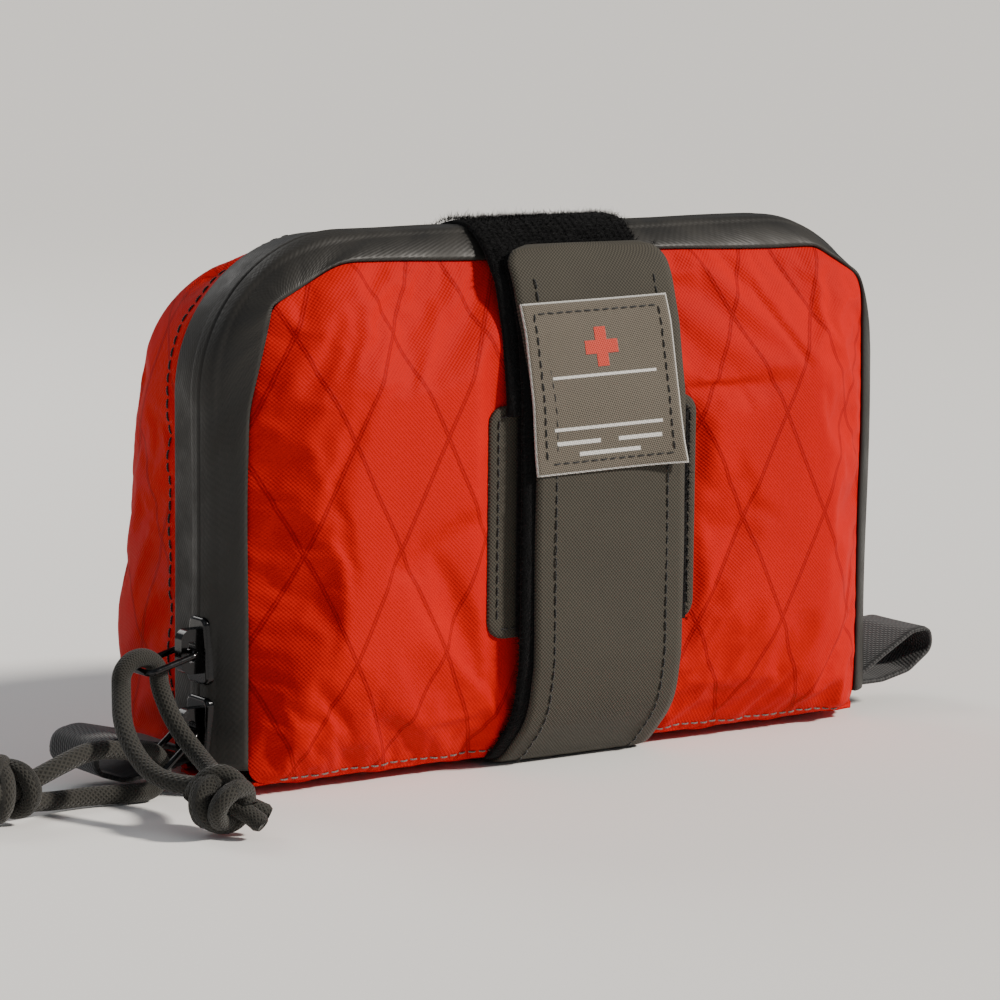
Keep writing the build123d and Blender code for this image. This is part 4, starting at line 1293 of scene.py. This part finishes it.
for u_, v_ in line:
    fi = (u_ / LABEL_HALF + 1) / 2 * (nu - 1)
    fj = v_ / 40 * (nv - 1)
    i0, j0 = int(min(fi, nu - 2)), int(min(fj, nv - 2))
    di, dj = fi - i0, fj - j0
    q = (lverts[i0, j0] * (1 - di) * (1 - dj) + lverts[i0 + 1, j0] * di * (1 - dj)
         + lverts[i0, j0 + 1] * (1 - di) * dj + lverts[i0 + 1, j0 + 1] * di * dj)
    e1, e2 = lverts[i0 + 1, j0] - lverts[i0, j0], lverts[i0, j0 + 1] - lverts[i0, j0]
    nrm = np.cross(e1, e2)
    nrm /= np.linalg.norm(nrm)
    if nrm[1] > 0:
        nrm = -nrm
    pts.append(q + nrm * 0.28 * mm)
    nors.append(nrm)
ls_ = stitches("label_stitches", pts, nors, M["thread_black"], pitch=2.7, length=1.9, radius=0.18)
belong(ls_, "hook_flap", "webbing")

# ------------------------------------------------------------------ webbing loops
LOOP_Z = BOTTOM + 5.2
loop_route = [(0.2, 0.9), (8, 3.2), (18, 5.6), (24, 4.4), (24.8, -1.4), (17, -4.2), (8, -3.2), (0.2, -0.9)]
for side, y_, lift, name in (
    (-1, ZIP_Y + 17.6, 0.0, "webbing_loop_left"), (1, ZIP_Y + 8.0, 0.3, "webbing_loop_right")):
    path = [(side * (HALF + q[0]), y_, LOOP_Z + q[1] + lift * q[0]) for q in loop_route]
    o = ribbon(name + "_web", path, 22, 1.3, M["webbing"], radius=6, across=(0, 1, 0), nx=20,
               step=0.9, wobble=0.1)[0]
    belong(o, "pouch", "webbing", name)

# ------------------------------------------------------------------ hard parts keep their CAD shape
for node in ("upper_slider", "lower_slider", "upper_pull_wire", "lower_pull_wire", "tweezers"):
    o = frame["nodes"][node]
    o.data.materials.clear()
    o.data.materials.append(M["steel" if node == "tweezers" else "black_metal"])


# ------------------------------------------------------------------ inside: linings, pockets and supplies
def panel_ends(node):
    """A flat CAD panel's lowest and highest corners and the middles of its lower and upper edges, in mm."""
    co = coords(frame["nodes"][node]) / mm
    lo, hi = co.min(0), co.max(0)
    return lo, hi, co[co[:, 2] < lo[2] + 1].mean(0), co[co[:, 2] > hi[2] - 1].mean(0)


def lining_panel(name, node, body, inward):
    """A cloth panel in the middle of a flat CAD panel, with soft waves."""
    lo, hi, bot, top = panel_ends(node)
    nu, nv = 60, 34
    verts, uvs = [], []
    for i in range(nu):
        for j in range(nv):
            fu, fv = i / (nu - 1), j / (nv - 1)
            q = bot + (top - bot) * fv
            vx = lo[0] + (hi[0] - lo[0]) * fu
            w = inward + 0.25 * math.sin(vx / 7 + 3 * fv) * math.sin(math.pi * fv)
            verts.append((vx * mm, (q[1] - w) * mm, q[2] * mm))
            uvs.append((vx * mm, q[2] * mm))
    o = make(name, verts, grid_faces(nu, nv), M["lining"], uvs)
    thicken(o, 0.5)
    belong(o, body, "lining", node)


lining_panel("lid_lining_cloth", "lid_lining", "lid", 0.0)
lining_panel("back_lining_cloth", "back_lining", "pouch", 0.5)


def net(name, node, body):
    """An open net over a flat CAD panel: real threads crossing in hexagons."""
    lo, hi, bot, top = panel_ends(node)
    length = np.linalg.norm(top - bot)
    up = (top - bot) / length
    pitch = 2.9
    row_z = pitch * 0.87
    cols = int((hi[0] - lo[0]) / pitch)
    rows = int(length / row_z)
    verts, faces, uvs = [], [], []

    def thread(a, b, w=0.24):
        d = b - a
        d /= np.linalg.norm(d)
        n1 = np.cross(d, (0, 1, 0))
        n1 /= np.linalg.norm(n1)
        n2 = np.cross(d, n1)
        k = len(verts)
        for q in (a, b):
            for c, s_ in ((1, 0), (-0.5, 0.87), (-0.5, -0.87)):
                verts.append((q + (n1 * c + n2 * s_) * w) * mm)
                uvs.append((q[0] * mm, q[2] * mm))
        faces.extend([(k, k + 1, k + 4, k + 3), (k + 1, k + 2, k + 5, k + 4), (k + 2, k, k + 3, k + 5)])

    def at(i, j):
        vx = min(lo[0] + (i + 0.5 * (j % 2)) * pitch, hi[0])
        return np.array([vx, bot[1] + up[1] * j * row_z, bot[2] + up[2] * j * row_z])

    for j in range(rows):
        for i in range(cols):
            thread(at(i, j), at(i, j + 1))
            if j % 2:
                thread(at(i, j), at(i + 1, j + 1))
            elif i:
                thread(at(i, j), at(i - 1, j + 1))
    o = make(name, verts, faces, M["thread_black"], uvs, smooth=False)
    belong(o, body, "mesh", node)


net("lid_pocket_net", "lid_pocket", "lid")
net("back_pocket_net", "back_pocket", "pouch")
for node, body in (("lid_pocket_binding", "lid"), ("back_pocket_binding", "pouch")):
    lo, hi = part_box(node)
    mid_y, mid_z = (lo[1] + hi[1]) / 2 / mm, (lo[2] + hi[2]) / 2 / mm
    w = (hi[0] - lo[0]) / mm
    dz = 3.7
    dy = 0.0 if body == "lid" else -dz * LEAN_DEPTH / LEAN_HEIGHT
    line = [(mid_y - dy, mid_z - dz), (mid_y, mid_z), (mid_y + dy, mid_z + dz)]
    o = ribbon(node + "_tape", line, w, 1.5, M["binding"], nx=60, step=0.8, wobble=0.12)[0]
    belong(o, body, "binding", node)


# Thickness and length of the packets that lean with the back
LEANING = {"gauze_pads": (5.4, 44), "glove_pack": (5.0, 44),
           "triangular_bandage": (9.0, 40), "emergency_blanket": (8.0, 40)}


def pillow(name, node, mat, body, slot_name):
    """A sealed packet in a flat CAD solid's place: swollen middle, flat crimped ends."""
    lo, hi = (np.array(q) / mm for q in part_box(node))
    up, (thick, length) = lean, LEANING.get(node, (0, 0))
    if node not in LEANING:
        up, thick, length = np.array([0, 0, 1.0]), (hi - lo)[1], (hi - lo)[2]
    nrm = np.array([0, -up[2], up[1]])
    c = (lo + hi) / 2
    half_w = (hi[0] - lo[0]) / 2
    nu, nv = 40, 36
    verts, uvs = [], []
    for face in (1, -1):
        for i in range(nu):
            for j in range(nv):
                fu, fv = -1 + 2 * i / (nu - 1), -1 + 2 * j / (nv - 1)
                eu, ev = 1 - abs(fu) ** 6, 1 - abs(fv) ** 5
                h = thick / 2 * (max(eu, 0) ** 0.5) * (max(ev, 0) ** 0.55)
                h *= 0.93 + 0.05 * math.sin(5 * fu + 2 * fv) * math.sin(4 * fv + 1)
                saw = 0.25 * (j % 2) if abs(fv) > 0.93 else 0
                p = c + np.array([fu * half_w, 0, 0]) + up * fv * (length / 2 - 0.2)
                p = p + nrm * face * (h + 0.04 + saw * 0.3)
                verts.append(p * mm)
                uvs.append((fu * half_w * mm, fv * length / 2 * mm))
    faces = grid_faces(nu, nv) + [tuple(reversed(f)) for f in grid_faces(nu, nv, start=nu * nv)]
    belong(make(name, verts, faces, mat, uvs), body, slot_name, node)


pillow("adhesive_strip_packet", "adhesive_strips", M["paper"], "lid", "paper")
pillow("wipe_packet", "antiseptic_wipes", M["wipes"], "lid", "paper")
pillow("gauze_packet", "gauze_pads", M["paper"], "pouch", "paper")
pillow("glove_packet", "glove_pack", M["film"], "pouch", "film")
pillow("triangular_packet", "triangular_bandage", M["film"], "pouch", "film")
pillow("blanket_packet", "emergency_blanket", M["foil"], "pouch", "foil")


def wound(name, node, mat, slot_name, pitch=1.3, bore=1.6):
    """A roll: its cloth wound in a spiral, with a rounded outside and a free end."""
    lo, hi = (np.array(q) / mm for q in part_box(node))
    c = (lo + hi) / 2
    R = (hi[2] - lo[2]) / 2
    half = (hi[0] - lo[0]) / 2
    turns = (R - bore) / pitch
    n_ = int(turns * 26)
    verts, uvs = [], []
    length = 0.0
    for i in range(n_):
        t = i / (n_ - 1)
        a = t * turns * 2 * math.pi
        r = bore + (R - 0.45 - bore) * t
        length += r * turns * 2 * math.pi / n_
        for k in range(9):
            f = -1 + k / 4
            vx = f * (half - 0.3 - 0.35 * math.sin(a * 0.37))
            rr = r - 0.5 * abs(f) ** 6 + 0.08 * math.sin(a * 3 + f * 4)
            verts.append(((c[0] + vx) * mm, (c[1] + rr * math.cos(a)) * mm, (c[2] + rr * math.sin(a)) * mm))
            uvs.append((vx * mm, length * mm))
    o = make(name, verts, grid_faces(n_, 9), mat, uvs)
    thicken(o, min(0.8, pitch * 0.6), -1)
    belong(o, "pouch", slot_name, node)


wound("elastic_bandage_roll", "elastic_bandage", M["bandage"], "bandage", 1.5)
wound("gauze_bandage_roll", "gauze_roll", M["gauze"], "gauze", 1.2)
wound("medical_tape_roll", "tape_roll", M["tape_white"], "medical_tape", 0.8, bore=8.8)

# ------------------------------------------------------------------ the tab leans, and the top falls away
TAB_LEAN, TAB_FLARE = -2.0, 0.06
for o in bpy.context.scene.objects:
    if o.name.startswith(("strap_cloth", "strap_stitch")):
        co = coords(o) / mm
        co[:, 0] += (TAB_LEAN + TAB_FLARE * co[:, 0]) * smooth_step((co[:, 2] - 78) / 34)
        put(o, co * mm)
for o in bpy.context.scene.objects:
    if o.type == "MESH" and o not in frame["nodes"].values() and coords(o)[:, 2].max() > 118 * mm:
        co = coords(o) / mm
        x, y, z = co.T
        fall = 2.4 * smooth_step((y + 10) / 17) - 1.4 * smooth_step((y - 9) / 14)
        fall *= smooth_step((z - 100) / 22)
        # Under the loop strap it is pulled down further.
        pulled = smooth_step((29 - np.abs(x - LOOP_X)) / 6) * smooth_step((z - 112) / 8)
        fall += 2.3 * pulled * smooth_step((y + 14) / 12) * smooth_step((24 - y) / 8)
        co[:, 2] -= fall
        put(o, co * mm)

# ------------------------------------------------------------------ floor and light
lowest = min(0.0, cad_bounds[0][2])
bpy.ops.mesh.primitive_plane_add(size=80, location=(0, 0, lowest))
floor = bpy.context.object
floor.name = "floor"
floor.data.materials.append(new_mat("floor_paint", (0.90, 0.89, 0.87), 0.85, spec=0.1))
world = bpy.data.worlds.new("sky")
bpy.context.scene.world = world
world.use_nodes = True
world.node_tree.nodes["Background"].inputs[0].default_value = (0.86, 0.90, 0.96, 1)
world.node_tree.nodes["Background"].inputs[1].default_value = 0.26


def area(name, place_, aim, size, power, color):
    """A soft square lamp that looks at a point."""
    lamp = bpy.data.lights.new(name, "AREA")
    lamp.size, lamp.energy, lamp.color = size, power, color
    o = bpy.data.objects.new(name, lamp)
    bpy.context.scene.collection.objects.link(o)
    o.location = place_
    o.rotation_euler = (Vector(aim) - Vector(place_)).to_track_quat("-Z", "Y").to_euler()


sun = bpy.data.lights.new("key", "SUN")
sun.energy, sun.color, sun.angle = 5.0, (1.0, 0.94, 0.86), math.radians(7)
key = bpy.data.objects.new("key", sun)
bpy.context.scene.collection.objects.link(key)
key.rotation_euler = Vector((0.80, -0.86, 0.78)).to_track_quat("Z", "Y").to_euler()
area("fill", (-1.1, -0.5, 0.7), (0, 0, 0.05), 0.9, 1.2, (0.86, 0.92, 1.0))
area("back_rim", (-0.2, 1.0, 0.9), (0, 0, 0.1), 0.6, 4, (1.0, 0.98, 0.95))
